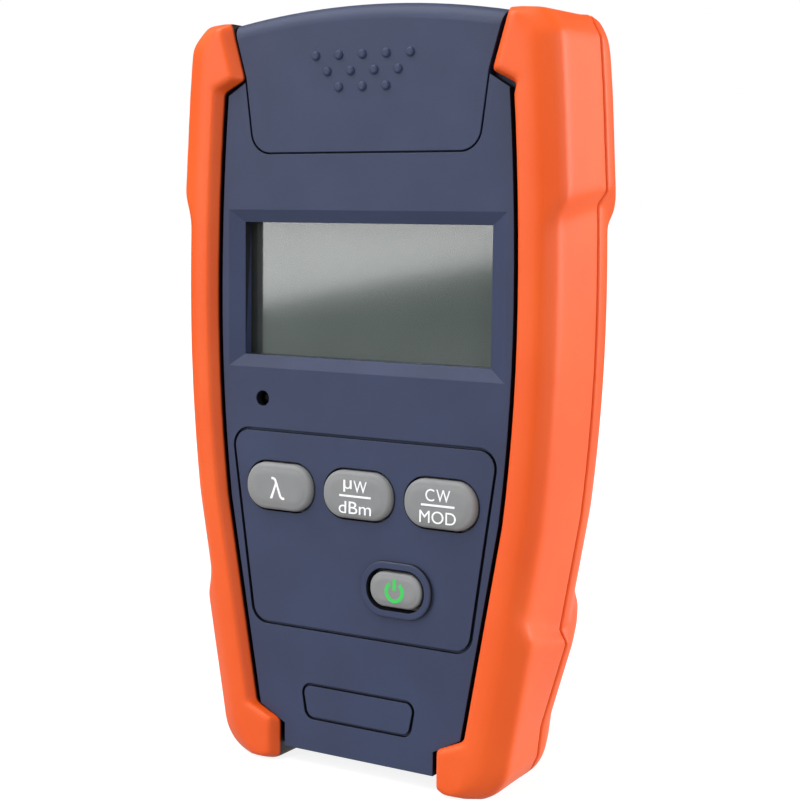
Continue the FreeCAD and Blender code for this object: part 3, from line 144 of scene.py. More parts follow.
def slate_plastic():
    made, tree, shader = material("slate_plastic", SLATE, 0.5, Specular_IOR_Level=0.33)
    cloud = noise(tree, 18 * MM, 3.0)
    tree.links.new(ramp(tree, cloud, [(0.35, SLATE), (0.7, SLATE_PALE)]),
                   shader.inputs["Base Color"])
    grain = noise(tree, SHELL_GRAIN, 3.0, 0.65)
    tree.links.new(spread(tree, grain, 0.42, 0.62), shader.inputs["Roughness"])
    bump(tree, shader, grain, 0.035 * MM, eased_edges(tree, SHELL_EDGE))
    return made


def paint(node, finish):
    """Gives a CAD node its finish."""
    target = nodes[node]
    target.data.materials.clear()
    target.data.materials.append(finish)


def read_rows(items, field):
    """One vector of each vertex or face of a mesh, as rows."""
    rows = np.empty(len(items) * 3)
    items.foreach_get(field, rows)
    return rows.reshape(-1, 3)


def second_finish(mesh, finish, chosen):
    """Gives the faces for which chosen(centres, normals) holds the mesh's second finish."""
    mesh.materials.append(finish)
    marks = chosen(read_rows(mesh.polygons, "center"), read_rows(mesh.polygons, "normal"))
    mesh.polygons.foreach_set("material_index", marks.astype(np.int32))
    mesh.update()


def in_shaded_recess(centres, normals):
    """Walls of the grooves, holes and gap round the panel, with their floors, which get painted
    shade.
    """
    deep = centres[:, 1] - panel_y
    walls = ((np.abs(normals[:, 1]) < WALL_TILT) & (deep > RECESS_START)
             & (deep < WINDOW_DEPTH + RECESS_NEAR))
    on_floor = ((np.abs(deep - GROOVE_DEPTH) < RECESS_NEAR)
                | (np.abs(deep - PANEL_STEP) < RECESS_NEAR))
    return walls | (normals[:, 1] < -FLOOR_TILT) & on_floor


slate = slate_plastic()
# Painted shade: a near-black finish on the recess walls and floors, where shadow falls.
shade = grained("shell_recess_painted_shade", RECESS_PAINTED_SHADE, 0.6, 0.5 * MM, 0.5, 0.7)
paint("front_shell", slate)
paint("rear_shell", slate)
panel_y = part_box("front_shell")[0].y
second_finish(nodes["front_shell"].data, shade, in_shaded_recess)

# The display
# A clear lens is bonded behind the panel's bevel, and the liquid-crystal cell lies under it on
# its white backlight. The cell is a grey-green reflective one with its picture off.
LCD_GREEN = (68, 78, 75)
LCD_DEEP = (62, 72, 69)
LCD_LEFT_SHADE = (10, 10, 12)
LCD_LEFT_SHADE_X = -27.6 * MM
LCD_LEFT_SHADE_SOFT = 0.5 * MM
LCD_GLOSS = 0.08
LCD_IOR = 1.95
LCD_CLOUD = 30 * MM


def place_parts(tree):
    """X, Y and Z of the piece's own coordinates."""
    place = tree.nodes.new("ShaderNodeTexCoord")
    parts = tree.nodes.new("ShaderNodeSeparateXYZ")
    tree.links.new(place.outputs["Object"], parts.inputs["Vector"])
    return parts.outputs


def blend(tree, share, first, second):
    """From the first colour to the second by a share; each is a socket or an sRGB triple."""
    node = tree.nodes.new("ShaderNodeMix")
    node.data_type = "RGBA"
    tree.links.new(share, node.inputs[0])
    for shade, socket in ((first, node.inputs[6]), (second, node.inputs[7])):
        if isinstance(shade, tuple):
            socket.default_value = colour(shade)
        else:
            tree.links.new(shade, socket)
    return node.outputs[2]


def lcd_finish():
    made, tree, shader = material("lcd_cell", LCD_GREEN, LCD_GLOSS, IOR=LCD_IOR)
    cloud = ramp(tree, noise(tree, LCD_CLOUD, 1.0), [(0.3, LCD_DEEP), (0.7, LCD_GREEN)], True)
    # A near-black, soft-edged strip along the cell's left edge: painted shade of the window's left
    # wall.
    past_left_shade = spread(tree, place_parts(tree)["X"], 0.0, 1.0,
                       LCD_LEFT_SHADE_X - LCD_LEFT_SHADE_SOFT, LCD_LEFT_SHADE_X + LCD_LEFT_SHADE_SOFT)
    tree.links.new(blend(tree, past_left_shade, LCD_LEFT_SHADE, cloud), shader.inputs["Base Color"])
    return made


paint("lcd_panel", lcd_finish())
paint("display_window", grained("clear_lens", (200, 210, 205), 0.09, 6 * MM, 0.07, 0.11,
                                Alpha=0.03))
paint("lcd_backlight", grained("backlight_plate", (235, 236, 232), 0.5, 2 * MM, 0.4, 0.6))

# The keys
# Four silicone caps, matt grey, each with a flange behind the panel. The legends are screen
# printed in white, and the power key carries a green power sign.
KEY_GREY = (134, 135, 136)
KEY_DEEP = (132, 133, 134)
KEY_PALE = (137, 138, 139)
INK_WHITE = (250, 251, 253)
INK_GREEN = (58, 196, 88)
INK_DEPTH = 0.03 * MM
SIGN_HIGH = 4.7 * MM
UPPER_HIGH = 2.5 * MM
UPPER_WIDE = 5.7 * MM
UPPER_RISE = 1.95 * MM
LOWER_HIGH = 2.55 * MM
LOWER_DROP = 2.5 * MM
RING_RADIUS = 1.9 * MM
RING_STROKE = 0.85 * MM
RING_GAP = 36
RING_DROP = 0.25 * MM
STEM_HALF = 0.42 * MM
STEM_HIGH = 1.2 * MM
STEM_RISE = 1.25 * MM
BAR_HALF = 3.85 * MM
BAR_THICK = 0.42 * MM
LEFT_WIDE = 2.05 * MM
RIGHT_WIDE = 3.2 * MM


def silicone():
    made, tree, shader = material("grey_silicone", KEY_GREY, 0.62, Specular_IOR_Level=0.35)
    grain = noise(tree, 0.25 * MM, 3.0)
    tree.links.new(ramp(tree, noise(tree, 5 * MM), [(0.3, KEY_DEEP), (0.7, KEY_PALE)]),
                   shader.inputs["Base Color"])
    bump(tree, shader, grain, 0.02 * MM)
    return made


def ink(name, shade):
    made, tree, shader = material(name, shade, 0.5)
    bump(tree, shader, noise(tree, 0.2 * MM), 0.006 * MM)
    return made


def add_piece(name, data):
    """Puts a mesh or a curve in the scene."""
    piece = bpy.data.objects.new(name, data)
    bpy.context.scene.collection.objects.link(piece)
    return piece


def add_mesh(name, verts, faces, finish, smooth=True):
    """A new piece from an array of points and rows of point numbers."""
    mesh = bpy.data.meshes.new(name)
    mesh.from_pydata(np.asarray(verts).tolist(), [], np.asarray(faces).tolist())
    mesh.materials.append(finish)
    if smooth:
        mesh.shade_smooth()
        mesh.set_sharp_from_angle(angle=math.radians(35))
    mesh.update()
    return add_piece(name, mesh)


def lettering(name, words, centre, high, face_y, finish, wide=None):
    """Raised ink on a face that looks to -Y: the words' own outline, scaled to a height."""
    curve = bpy.data.curves.new(name, "FONT")
    curve.body = words
    curve.align_x = "CENTER"
    curve.extrude = 0.01
    curve.resolution_u = 6
    source = add_piece(name + "_curve", curve)
    mesh = bpy.data.meshes.new_from_object(source)
    bpy.data.objects.remove(source)
    points = read_rows(mesh.vertices, "co")
    low, top = points.min(0), points.max(0)
    scale = high / (top[1] - low[1])
    across = scale if wide is None else wide / (top[0] - low[0])
    middle = (low + top) / 2
    placed = np.empty_like(points)
    placed[:, 0] = centre[0] + (points[:, 0] - middle[0]) * across
    placed[:, 1] = face_y - INK_DEPTH * (points[:, 2] - low[2]) / (top[2] - low[2])
    placed[:, 2] = centre[1] + (points[:, 1] - middle[1]) * scale
    mesh.vertices.foreach_set("co", placed.ravel())
    mesh.materials.clear()
    mesh.materials.append(finish)
    mesh.name = name
    mesh.update()
    return add_piece(name, mesh)


def bar(name, centre, half_wide, half_high, face_y, finish):
    """A thin printed bar: the eight corners of a flat block on the face."""
    corner = np.array([(x, y, z) for x in (-1, 1) for y in (0, 1) for z in (-1, 1)], float)
    verts = np.column_stack([centre[0] + corner[:, 0] * half_wide,
                             face_y - corner[:, 1] * INK_DEPTH,
                             centre[1] + corner[:, 2] * half_high])
    faces = [(0, 1, 3, 2), (4, 6, 7, 5), (0, 4, 5, 1), (2, 3, 7, 6), (0, 2, 6, 4), (1, 5, 7, 3)]
    return add_mesh(name, verts, faces, finish, smooth=False)


def power_sign(name, centre, radius, stroke, face_y, finish):
    """Ring with a gap at the top: radius times cos and sin of the angle, four corners deep."""
    gap = math.radians(RING_GAP)
    angle = np.linspace(math.pi / 2 + gap, math.pi * 2.5 - gap, 49)
    section = [(radius + stroke / 2, 0), (radius + stroke / 2, 1),
               (radius - stroke / 2, 1), (radius - stroke / 2, 0)]
    verts = np.concatenate([
        np.column_stack([centre[0] + r * np.cos(angle),
                         np.full_like(angle, face_y - depth * INK_DEPTH),
                         centre[1] + r * np.sin(angle)]) for r, depth in section])
    count = len(angle)
    step = np.arange(count - 1)
    faces = []
    for row in range(4):
        a, b = row * count, (row + 1) % 4 * count
        faces += np.column_stack([a + step, b + step, b + step + 1, a + step + 1]).tolist()
    faces += [[0, count, 2 * count, 3 * count][::-1],
              [count - 1, 2 * count - 1, 3 * count - 1, 4 * count - 1]]
    piece = add_mesh(name, verts, faces, finish, smooth=False)
    face_out(piece)
    return piece


def face_out(piece):
    """Turns every face of a closed piece outwards."""
    work = bmesh.new()
    work.from_mesh(piece.data)
    bmesh.ops.recalc_face_normals(work, faces=work.faces)
    work.to_mesh(piece.data)
    work.free()


KEYS = {"wavelength_button": "wavelength_key", "unit_button": "unit_key",
        "mode_button": "mode_key", "power_button": "power_key"}
grey = silicone()
KEY_FLANGE_LAP = 1.2 * MM
KEY_FLANGE_THICK = 1.0 * MM
KEY_CORE = 0.96
KEY_CROWN = 0.22 * MM
KEY_FLAT = 0.62
KEY_TIP = 0.02 * MM
KEY_AROUND = 96
KEY_SHRINK = 0.15 * MM
KEY_EASE = 1.0 * MM
POWER_SHRINK = 0.12 * MM
POWER_EASE = 0.7 * MM


def ring_faces(rings, around, closed=True):
    """Faces between rings of points; a closed set joins its last ring to the first."""
    first, second = np.meshgrid(np.arange(rings if closed else rings - 1), np.arange(around),
                                indexing="ij")
    onward, beside = (first + 1) % rings, (second + 1) % around
    return np.stack([first * around + second, first * around + beside,
                     onward * around + beside, onward * around + second], -1).reshape(-1, 4)


def key_cap(node, shrink, ease):
    """A key in rounds from its flange's back to the middle of its face. A round is a
    rectangle's core grown by a radius; the edge falls along a quarter circle and the face's
    outer third sinks with the square of the distance."""
    low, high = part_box(node)
    half = (high.x - low.x) / 2 - KEY_FLANGE_LAP
    tall = (high.z - low.z) / 2 - KEY_FLANGE_LAP
    front = high.y - KEY_FLANGE_THICK
    turn = np.linspace(0, math.pi / 2, 9)
    share = np.linspace(0, 0.97, 12)
    flat = tall - shrink - ease
    crown = KEY_CROWN * np.clip((1 - share - KEY_FLAT) / (1 - KEY_FLAT), 0, 1) ** 2
    grow = np.concatenate([[KEY_FLANGE_LAP, KEY_FLANGE_LAP, -shrink],
                           -shrink - ease * (1 - np.cos(turn)),
                           -shrink - ease - flat * share[1:]])
    depth = np.concatenate([[high.y, front, front], low.y + KEY_CROWN + ease * (1 - np.sin(turn)),
                            low.y + crown[1:]])
    angle = (np.linspace(0, 2 * math.pi, KEY_AROUND, endpoint=False)
             + math.pi / KEY_AROUND)
    core = tall * KEY_CORE
    radius = np.maximum(core + grow, KEY_TIP)[:, None]
    inner = grow[:, None] - (radius - core)
    across = (half - core + np.minimum(inner, 0)) * np.sign(np.cos(angle)) + radius * np.cos(angle)
    up = (tall - core) * np.sign(np.sin(angle)) + radius * np.sin(angle)
    verts = np.stack([(low.x + high.x) / 2 + across, np.broadcast_to(depth[:, None], across.shape),
                      (low.z + high.z) / 2 + up], -1).reshape(-1, 3)
    rings = len(depth)
    faces = ring_faces(rings, KEY_AROUND, closed=False).tolist()
    faces += [list(range(KEY_AROUND)), list(range((rings - 1) * KEY_AROUND, rings * KEY_AROUND))]
    mesh = bpy.data.meshes.new(node.replace("button", "keycap"))
    mesh.from_pydata(verts.tolist(), [], faces)
    mesh.materials.append(grey)
    mesh.shade_smooth()
    mesh.set_sharp_from_angle(angle=math.radians(40))
    piece = add_piece(mesh.name, mesh)
    face_out(piece)
    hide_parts(node)
    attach(piece, KEYS[node])


for node in KEYS:
    small = node == "power_button"
    key_cap(node, POWER_SHRINK if small else KEY_SHRINK, POWER_EASE if small else KEY_EASE)

white_ink = ink("white_ink", INK_WHITE)
green_ink = ink("green_ink", INK_GREEN)


def on_key(piece, node):
    face_out(piece)
    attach(piece, KEYS[node])


def key_face(node):
    """Middle of a key (x, z) and the depth of its face."""
    low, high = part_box(node)
    return ((low.x + high.x) / 2, (low.z + high.z) / 2), low.y


place, face = key_face("wavelength_button")
on_key(lettering("wavelength_legend", "λ", (place[0] + 0.1 * MM, place[1] - 0.2 * MM),
                 SIGN_HIGH, face, white_ink), "wavelength_button")
for node, upper, lower, lower_wide in (("unit_button", "µW", "dBm", 7.9 * MM),
                                       ("mode_button", "CW", "MOD", 8.4 * MM)):
    place, face = key_face(node)
    stem = node.replace("_button", "")
    for index, letter in enumerate(upper):
        wide = (LEFT_WIDE, RIGHT_WIDE)[index]
        middle = (LEFT_WIDE - UPPER_WIDE, UPPER_WIDE - RIGHT_WIDE)[index] / 2
        on_key(lettering("%s_legend_%d" % (stem, index), letter,
                         (place[0] + middle, place[1] + UPPER_RISE), UPPER_HIGH, face,
                         white_ink, wide), node)
    on_key(bar(stem + "_legend_bar", (place[0], place[1] - 0.1 * MM), BAR_HALF, BAR_THICK / 2,
               face, white_ink), node)
    on_key(lettering(stem + "_legend_lower", lower, (place[0], place[1] - LOWER_DROP),
                     LOWER_HIGH, face, white_ink, lower_wide), node)
place, face = key_face("power_button")
on_key(power_sign("power_legend_ring", (place[0], place[1] - RING_DROP), RING_RADIUS,
                  RING_STROKE, face, green_ink), "power_button")
on_key(bar("power_legend_stem", (place[0], place[1] + STEM_RISE), STEM_HALF, STEM_HIGH,
           face, green_ink), "power_button")

# The tilting dust cap
# One moulding of the shells' plastic, crowned across the top, with three rows of grip bumps. It
# swings back on a steel pin between the rear shell's ears.
paint("dust_cover", slate)
steel = grained("bright_steel", (150, 150, 152), 0.32, 0.5 * MM, 0.25, 0.4, Metallic=1.0)
paint("cover_hinge_pin", steel)

# The fibre port
# A nickel-plated brass adapter, screwed on the deck under the cap, with a ceramic sleeve in its
# bore and the laser can below it.
nickel = grained("nickel_plate", (196, 192, 182), 0.25, 0.4 * MM, 0.18, 0.34, Metallic=1.0)
for node in ("laser_module", "lower_contacts", "upper_contacts"):
    paint(node, nickel)
BARREL_HIGH = 10 * MM
FLANGE_THICK = 2 * MM
BARREL_RADIUS = 4 * MM
STEM_RADIUS = 3.6 * MM
BORE_RADIUS = 1.75 * MM
FLANGE_ROUND = 0.9 * MM
THREAD_PITCH = 0.75 * MM
THREAD_DEPTH = 0.4 * MM
MOUTH_EASE = 0.5 * MM
BORE_EASE = 0.3 * MM
FLANGE_EASE = 0.15 * MM
PORT_AROUND = 96


def sweep_round(radius, height, around):
    """A closed surface of revolution: the last ring joins the first."""
    angle = np.linspace(0, 2 * math.pi, around, endpoint=False)
    verts = np.stack([radius * np.cos(angle), radius * np.sin(angle),
                      np.broadcast_to(height, np.broadcast(radius, angle).shape)], -1)
    return verts.reshape(-1, 3), ring_faces(len(verts), around)


def threaded_barrel(low, high, flange_top):
    """Closed profile turned round the bore; the barrel's radius falls by a triangle wave of
    height over pitch less angle over a full turn, faded out at both ends."""
    rise = np.linspace(flange_top, high - MOUTH_EASE, 110)
    angle = np.linspace(0, 2 * math.pi, PORT_AROUND, endpoint=False)
    turn = (rise[:, None] / THREAD_PITCH - angle / (2 * math.pi)) % 1
    fade = np.clip(np.minimum(rise - flange_top - 0.6 * MM, high - rise) / (0.5 * MM), 0, 1)
    cut = THREAD_DEPTH * np.abs(2 * turn - 1) * fade[:, None]
    outer = BARREL_RADIUS - cut
    ends = [(STEM_RADIUS, low), (STEM_RADIUS, flange_top - FLANGE_THICK / 2),
            (BARREL_RADIUS - BORE_EASE, flange_top - FLANGE_THICK / 2)]
    mouth = [(BARREL_RADIUS - MOUTH_EASE, high), (BORE_RADIUS + BORE_EASE, high),
             (BORE_RADIUS, high - BORE_EASE), (BORE_RADIUS, low)]
    radius = np.concatenate([np.full((len(ends), PORT_AROUND), [[r] for r, z in ends]), outer,
                             np.full((len(mouth), PORT_AROUND), [[r] for r, z in mouth])])
    height = np.concatenate([[z for r, z in ends], rise, [z for r, z in mouth]])[:, None]
    return sweep_round(radius, height, PORT_AROUND)


def square_flange(half, low, high):
    """A plate between a round hole and a square with rounded corners, round by round: the
    outer edge is the square's edge clamped to its corner circles."""
    angle = np.linspace(0, 2 * math.pi, PORT_AROUND, endpoint=False)
    way = np.stack([np.cos(angle), np.sin(angle)], -1)
    edge = way * half / np.abs(way).max(1, keepdims=True)
    core = half - FLANGE_ROUND
    inner = np.clip(edge, -core, core)
    past = edge - inner
    length = np.linalg.norm(past, axis=1, keepdims=True)
    edge = inner + past * np.minimum(1, FLANGE_ROUND / np.maximum(length, 1e-9))
    hole = way * (BARREL_RADIUS - 0.35 * MM)
    rings = [(hole, low), (edge, low), (edge, high - FLANGE_EASE),
             (edge * (1 - FLANGE_EASE / half), high), (hole, high)]
    verts = np.concatenate([np.column_stack([xy, np.full(PORT_AROUND, z)]) for xy, z in rings])
    return verts, ring_faces(len(rings), PORT_AROUND)


low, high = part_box("optical_adapter")
port = np.array([(low.x + high.x) / 2, (low.y + high.y) / 2, 0])
flange_top = high.z - BARREL_HIGH
barrel, barrel_faces = threaded_barrel(low.z, high.z, flange_top)
flange, flange_faces = square_flange((high.x - low.x) / 2, flange_top - FLANGE_THICK, flange_top)
adapter = add_mesh("port_adapter", np.concatenate([barrel, flange]) + port,
                   np.concatenate([barrel_faces, flange_faces + len(barrel)]), nickel)
face_out(adapter)
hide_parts("optical_adapter")
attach(adapter, "case")
paint("ferrule_sleeve", grained("ceramic", (236, 234, 226), 0.2, 1 * MM, 0.15, 0.3))

# The screws
# Zinc-plated steel with domed heads and cross recesses: four hold the shells and four the board,
# driven from behind, and two the port, driven from above.
RECESS_SHARE = 0.62
ARM_SHARE = 0.16
PIT_SHARE = 0.6
THREAD_SHARE = 0.28
SCREW_AROUND = 72
WELD_GAP = 0.004 * MM
SCREWS = (("shell_screws", "case_screws", 1, 2.0 * MM, 1.4 * MM, 1.2 * MM),
          ("circuit_screws", "board_screws", 1, 1.5 * MM, 1.1 * MM, 1.0 * MM),
          ("port_screws", "adapter_screws", 2, 0.8 * MM, 0.8 * MM, 0.5 * MM))


def screw(head_radius, head_high, shank_radius, length, pitch):
    """A screw along +Z with its head's underside at 0. The head's height is a dome, less a
    cross-shaped pit; the shank's radius falls by a triangle wave along its thread."""
    angle = np.linspace(0, 2 * math.pi, SCREW_AROUND, endpoint=False)
    share = np.linspace(0.02, 1, 26)[:, None]
    x, y = share * np.cos(angle), share * np.sin(angle)
    dome = head_high * (0.55 + 0.45 * np.sqrt(np.clip(1 - (share * 0.96) ** 2, 0, 1)))
    arm = np.minimum(np.abs(x), np.abs(y))
    pit = (np.clip((ARM_SHARE - arm) / 0.05, 0, 1)
           * np.clip((RECESS_SHARE - share) / 0.06, 0, 1)) * head_high * PIT_SHARE
    top_radius = np.broadcast_to(share * head_radius, pit.shape)
    down = np.linspace(0, -length, int(length / pitch * 8))[:, None]
    wave = np.abs(2 * ((down / pitch - angle / (2 * math.pi)) % 1) - 1)
    point = np.clip((length + down) / shank_radius, 0.05, 1)
    shank = shank_radius * (1 - THREAD_SHARE * wave) * point
    radius = np.concatenate([top_radius, np.full((1, SCREW_AROUND), head_radius), shank])
    height = np.concatenate([dome - pit, np.zeros((1, SCREW_AROUND)),
                             np.broadcast_to(down, shank.shape)])
    return sweep_round(radius, height, SCREW_AROUND)


def islands(node):
    """Lowest and highest corners of each separate solid of a node."""
    work = bmesh.new()
    work.from_mesh(nodes[node].data)
    bmesh.ops.remove_doubles(work, verts=work.verts, dist=WELD_GAP)
    left = set(work.verts)
    boxes = []
    while left:
        queue = [left.pop()]
        group = list(queue)
        while queue:
            for edge in queue.pop().link_edges:
                for vert in edge.verts:
                    if vert in left:
                        left.remove(vert)
                        queue.append(vert)
                        group.append(vert)
        points = np.array([vert.co for vert in group])
        boxes.append((points.min(0), points.max(0)))
    work.free()
    return sorted(boxes, key=lambda box: tuple(np.round(box[0], 4)))


def screw_set(name, node, axis, head_high, shank_radius, pitch):
    """A screw in place of each solid of a node, with its head towards plus that axis."""
    boxes = islands(node)
    size = boxes[0][1] - boxes[0][0]
    verts, faces = screw(size[0] / 2, head_high, shank_radius, size[axis] - head_high, pitch)
    shape = verts[:, (0, 2, 1)] if axis == 1 else verts
    every = []
    for low, high in boxes:
        place = (low + high) / 2
        place[axis] = high[axis] - head_high
        every.append(shape + place)
    rows = [faces + len(verts) * index for index in range(len(boxes))]
    piece = add_mesh(name, np.concatenate(every), np.concatenate(rows), steel)
    face_out(piece)
    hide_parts(node)
    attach(piece, "case")


for made_screws in SCREWS:
    screw_set(*made_screws)

# The circuit board and its parts
# A green glass-fibre board on four posts carries the tactile switches and the indicator lamp,
# which sits behind a small hole in the panel.
BOARD_DEEP = (16, 74, 42)
BOARD_PALE = (26, 96, 56)
green_board, tree, shader = material("solder_resist", (20, 84, 48), 0.4)
tree.links.new(ramp(tree, noise(tree, 4 * MM), [(0.45, BOARD_DEEP), (0.55, BOARD_PALE)]),
               shader.inputs["Base Color"])
paint("main_board", green_board)
paint("tact_switches", grained("black_plastic", (22, 22, 24), 0.45, 0.5 * MM, 0.35, 0.6))
paint("status_led", grained("smoked_lamp", (7, 9, 8), 0.5, 2 * MM, 0.45, 0.55,
                            Specular_IOR_Level=0.1))

# The battery bay
# Three cells lie side by side between sprung contact strips, under a door that turns on two
# small pivots at its lower edge and snaps shut at its top.
JACKET = (34, 36, 42)
JACKET_PALE = (48, 50, 58)
jacket, tree, shader = material("cell_jacket", JACKET, 0.3)
tree.links.new(ramp(tree, noise(tree, 9 * MM), [(0.4, JACKET), (0.6, JACKET_PALE)]),
               shader.inputs["Base Color"])
paint("battery_cells", jacket)
paint("battery_door", slate)

# The bumpers
# Four overmoulded halves in orange rubber, which meet at the parting line. They wrap the corners
# and sides, with thicker blocks at both ends and soft edges all round.
ORANGE = (234, 86, 18)
ORANGE_PALE = (238, 93, 25)
GAP_PAINTED_SHADE = (24, 10, 12)
GAP_SHADE_START = 1.0 * MM
GAP_SHADE_FULL = 1.5 * MM
SEAM_PAINTED_SHADE = (188, 52, 14)
SEAM_LINE = 0.1 * MM
SEAM_FADE = 0.4 * MM
SEAM_HALF = 0.75 * MM
SEAM_DEEP = 0.4 * MM
LAND_SHIFT = 0.6 * MM
BAND_WIDE = 9.4 * MM
PANEL_EDGE = np.array([(12.0, 24.7), (57.0, 32.5), (78.5, 34.4), (100.0, 35.0), (121.0, 34.6),
                       (142.4, 33.3)]) * MM
HOOK_FOOT = 140 * MM
HOOK_REACH = 37 * MM
TOE_TOP = 13.5 * MM
TOE_REACH = 26 * MM
LOOK_START = 0.15
LOOK_FADE = 0.3
LAND_KEEP = 0.62
LAND_FADE = 0.34
LAND_TOP = 143 * MM
LAND_TOP_FADE = 2 * MM
SEAM_KEEP = 0.8 * MM
SEAM_SOFTER = 1.2 * MM
EDGE_KEEP = 2.0 * MM
EDGE_SOFTER = 2.0 * MM
BACK_LIMIT = 0.35
INNER_LIMIT = 0.45
TURN_FADE = 0.3
SKIN_SPACING = 0.42 * MM
RELAX_STEPS = 12
SOFT_STEPS = 45


def calc(tree, operation, *values):
    """One step of arithmetic on sockets and numbers."""
    node = tree.nodes.new("ShaderNodeMath")
    node.operation = operation
    for value, socket in zip(values, node.inputs):
        if isinstance(value, float):
            socket.default_value = value
        else:
            tree.links.new(value, socket)
    return node.outputs["Value"]


def orange_rubber():
    made, tree, shader = material("orange_rubber", ORANGE, 0.5, Specular_IOR_Level=0.4)
    cloud = noise(tree, 22 * MM, 2.0)
    tone = ramp(tree, cloud, [(0.35, ORANGE), (0.7, ORANGE_PALE)])
    facing = tree.nodes.new("ShaderNodeAttribute")
    facing.attribute_name = "faces_panel"
    depth = place_parts(tree)["Y"]
    # Deep in the gap beside the panel the rubber goes near-black: painted shade.
    gap_shade = calc(tree, "MULTIPLY", facing.outputs["Fac"],
                    spread(tree, depth, 0.0, 1.0, panel_y + GAP_SHADE_START, panel_y + GAP_SHADE_FULL))
    tone = blend(tree, gap_shade, tone, GAP_PAINTED_SHADE)
    # A darker red-orange along the parting line: painted shade in the seam's groove.
    from_seam = calc(tree, "ABSOLUTE", calc(tree, "SUBTRACT", depth, parting_y))
    seam_shade = spread(tree, from_seam, 1.0, 0.0, SEAM_LINE, SEAM_FADE)
    tree.links.new(blend(tree, seam_shade, tone, SEAM_PAINTED_SHADE), shader.inputs["Base Color"])
    grain = noise(tree, 0.3 * MM, 3.0)
    tree.links.new(spread(tree, grain, 0.42, 0.56), shader.inputs["Roughness"])
    bump(tree, shader, grain, 0.02 * MM)
    return made


def soften(mesh, node):
    """Moves each outer point halfway to its neighbours' mean, again and again, by a weight that
    is 0 beside the parting plane, at the inner edge and on the inner side."""
    side = 1 if node.endswith("right") else -1
    points = read_rows(mesh.vertices, "co")
    normals = read_rows(mesh.vertices, "normal")
    edge = np.interp(points[:, 2], PANEL_EDGE[:, 0], PANEL_EDGE[:, 1])
    weight = np.clip((np.abs(points[:, 1] - parting_y) - SEAM_KEEP) / SEAM_SOFTER, 0, 1)
    weight *= np.clip((np.abs(points[:, 0]) - edge - EDGE_KEEP) / EDGE_SOFTER, 0, 1)
    back = normals[:, 1] if node.startswith("front") else -normals[:, 1]
    weight *= np.clip((BACK_LIMIT - back) / TURN_FADE, 0, 1)
    weight *= np.clip((normals[:, 0] * side + INNER_LIMIT) / TURN_FADE, 0, 1)
    ends = np.empty(len(mesh.edges) * 2, np.int32)
    mesh.edges.foreach_get("vertices", ends)
    first = np.concatenate([ends[::2], ends[1::2]])
    second = np.concatenate([ends[1::2], ends[::2]])
    count = np.maximum(np.bincount(first, minlength=len(points)), 1)
    for step in range(SOFT_STEPS):
        mean = np.column_stack([np.bincount(first, points[second, axis], len(points)) / count
                                for axis in range(3)])
        points += 0.5 * weight[:, None] * (mean - points)
    mesh.vertices.foreach_set("co", points.ravel())
    mesh.update()


def seam_and_land(mesh, node):
    """Sinks the skin beside the parting plane along its normals, by a share that falls with
    the distance, and draws the right land's inner edge over the gap."""
    points = read_rows(mesh.vertices, "co")
    normals = read_rows(mesh.vertices, "normal")
    near = np.clip(1 - np.abs(points[:, 1] - parting_y) / SEAM_HALF, 0, 1)
    points -= normals * (SEAM_DEEP * near)[:, None]
    if node == "front_bumper_right":
        edge = np.interp(points[:, 2], PANEL_EDGE[:, 0], PANEL_EDGE[:, 1])
        share = np.clip((LAND_KEEP - (points[:, 0] - edge) / BAND_WIDE) / LAND_FADE, 0, 1)
        share *= np.clip((LAND_TOP - points[:, 2]) / LAND_TOP_FADE, 0, 1)
        share *= points[:, 1] < panel_y + PANEL_STEP
        points[:, 0] -= LAND_SHIFT * share
    mesh.vertices.foreach_set("co", points.ravel())
    mesh.update()


def faces_panel(mesh, node):
    """Marks the front skin that looks across the gap, hooks included, by its normals, for the
    painted shade in the gap.
    """
    side = 1 if node.endswith("right") else -1
    points = read_rows(mesh.vertices, "co")
    normals = read_rows(mesh.vertices, "normal")
    middle = np.abs(points[:, 0])
    looks = np.maximum(-normals[:, 0] * side, np.maximum(
        -normals[:, 2] * ((points[:, 2] > HOOK_FOOT) & (middle < HOOK_REACH)),
        normals[:, 2] * ((points[:, 2] < TOE_TOP) & (middle < TOE_REACH))))
    share = np.clip((looks - LOOK_START) / LOOK_FADE, 0, 1) * node.startswith("front")
    mesh.attributes.new("faces_panel", "FLOAT", "POINT").data.foreach_set("value", share)


def soft_moulding(node, name, finish):
    """The node's form closed into an even skin of small faces, then relaxed, which rounds its
    edges and leaves the flats flat."""
    mesh = nodes[node].data.copy()
    work = bmesh.new()
    work.from_mesh(mesh)
    bmesh.ops.remove_doubles(work, verts=work.verts, dist=WELD_GAP)
    work.to_mesh(mesh)
    work.free()
    source = add_piece(name + "_form", mesh)
    skin = source.modifiers.new("skin", "REMESH")
    skin.mode = "VOXEL"
    skin.voxel_size = SKIN_SPACING
    skin.use_smooth_shade = True
    relaxed = source.modifiers.new("relaxed", "SMOOTH")
    relaxed.factor = 0.5
    relaxed.iterations = RELAX_STEPS
    bpy.context.view_layer.update()
    view = bpy.context.evaluated_depsgraph_get()
    finished = bpy.data.meshes.new_from_object(source.evaluated_get(view))
    bpy.data.objects.remove(source)
    finished.name = name
    finished.materials.clear()
    finished.materials.append(finish)
    soften(finished, node)
    seam_and_land(finished, node)
    faces_panel(finished, node)
    piece = add_piece(name, finished)
    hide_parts(node)
    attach(piece, "case")


parting_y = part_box("front_bumper_right")[1].y
orange = orange_rubber()
for node in ("front_bumper_right", "front_bumper_left", "rear_bumper_right",
             "rear_bumper_left"):
    soft_moulding(node, node.replace("bumper", "grip"), orange)

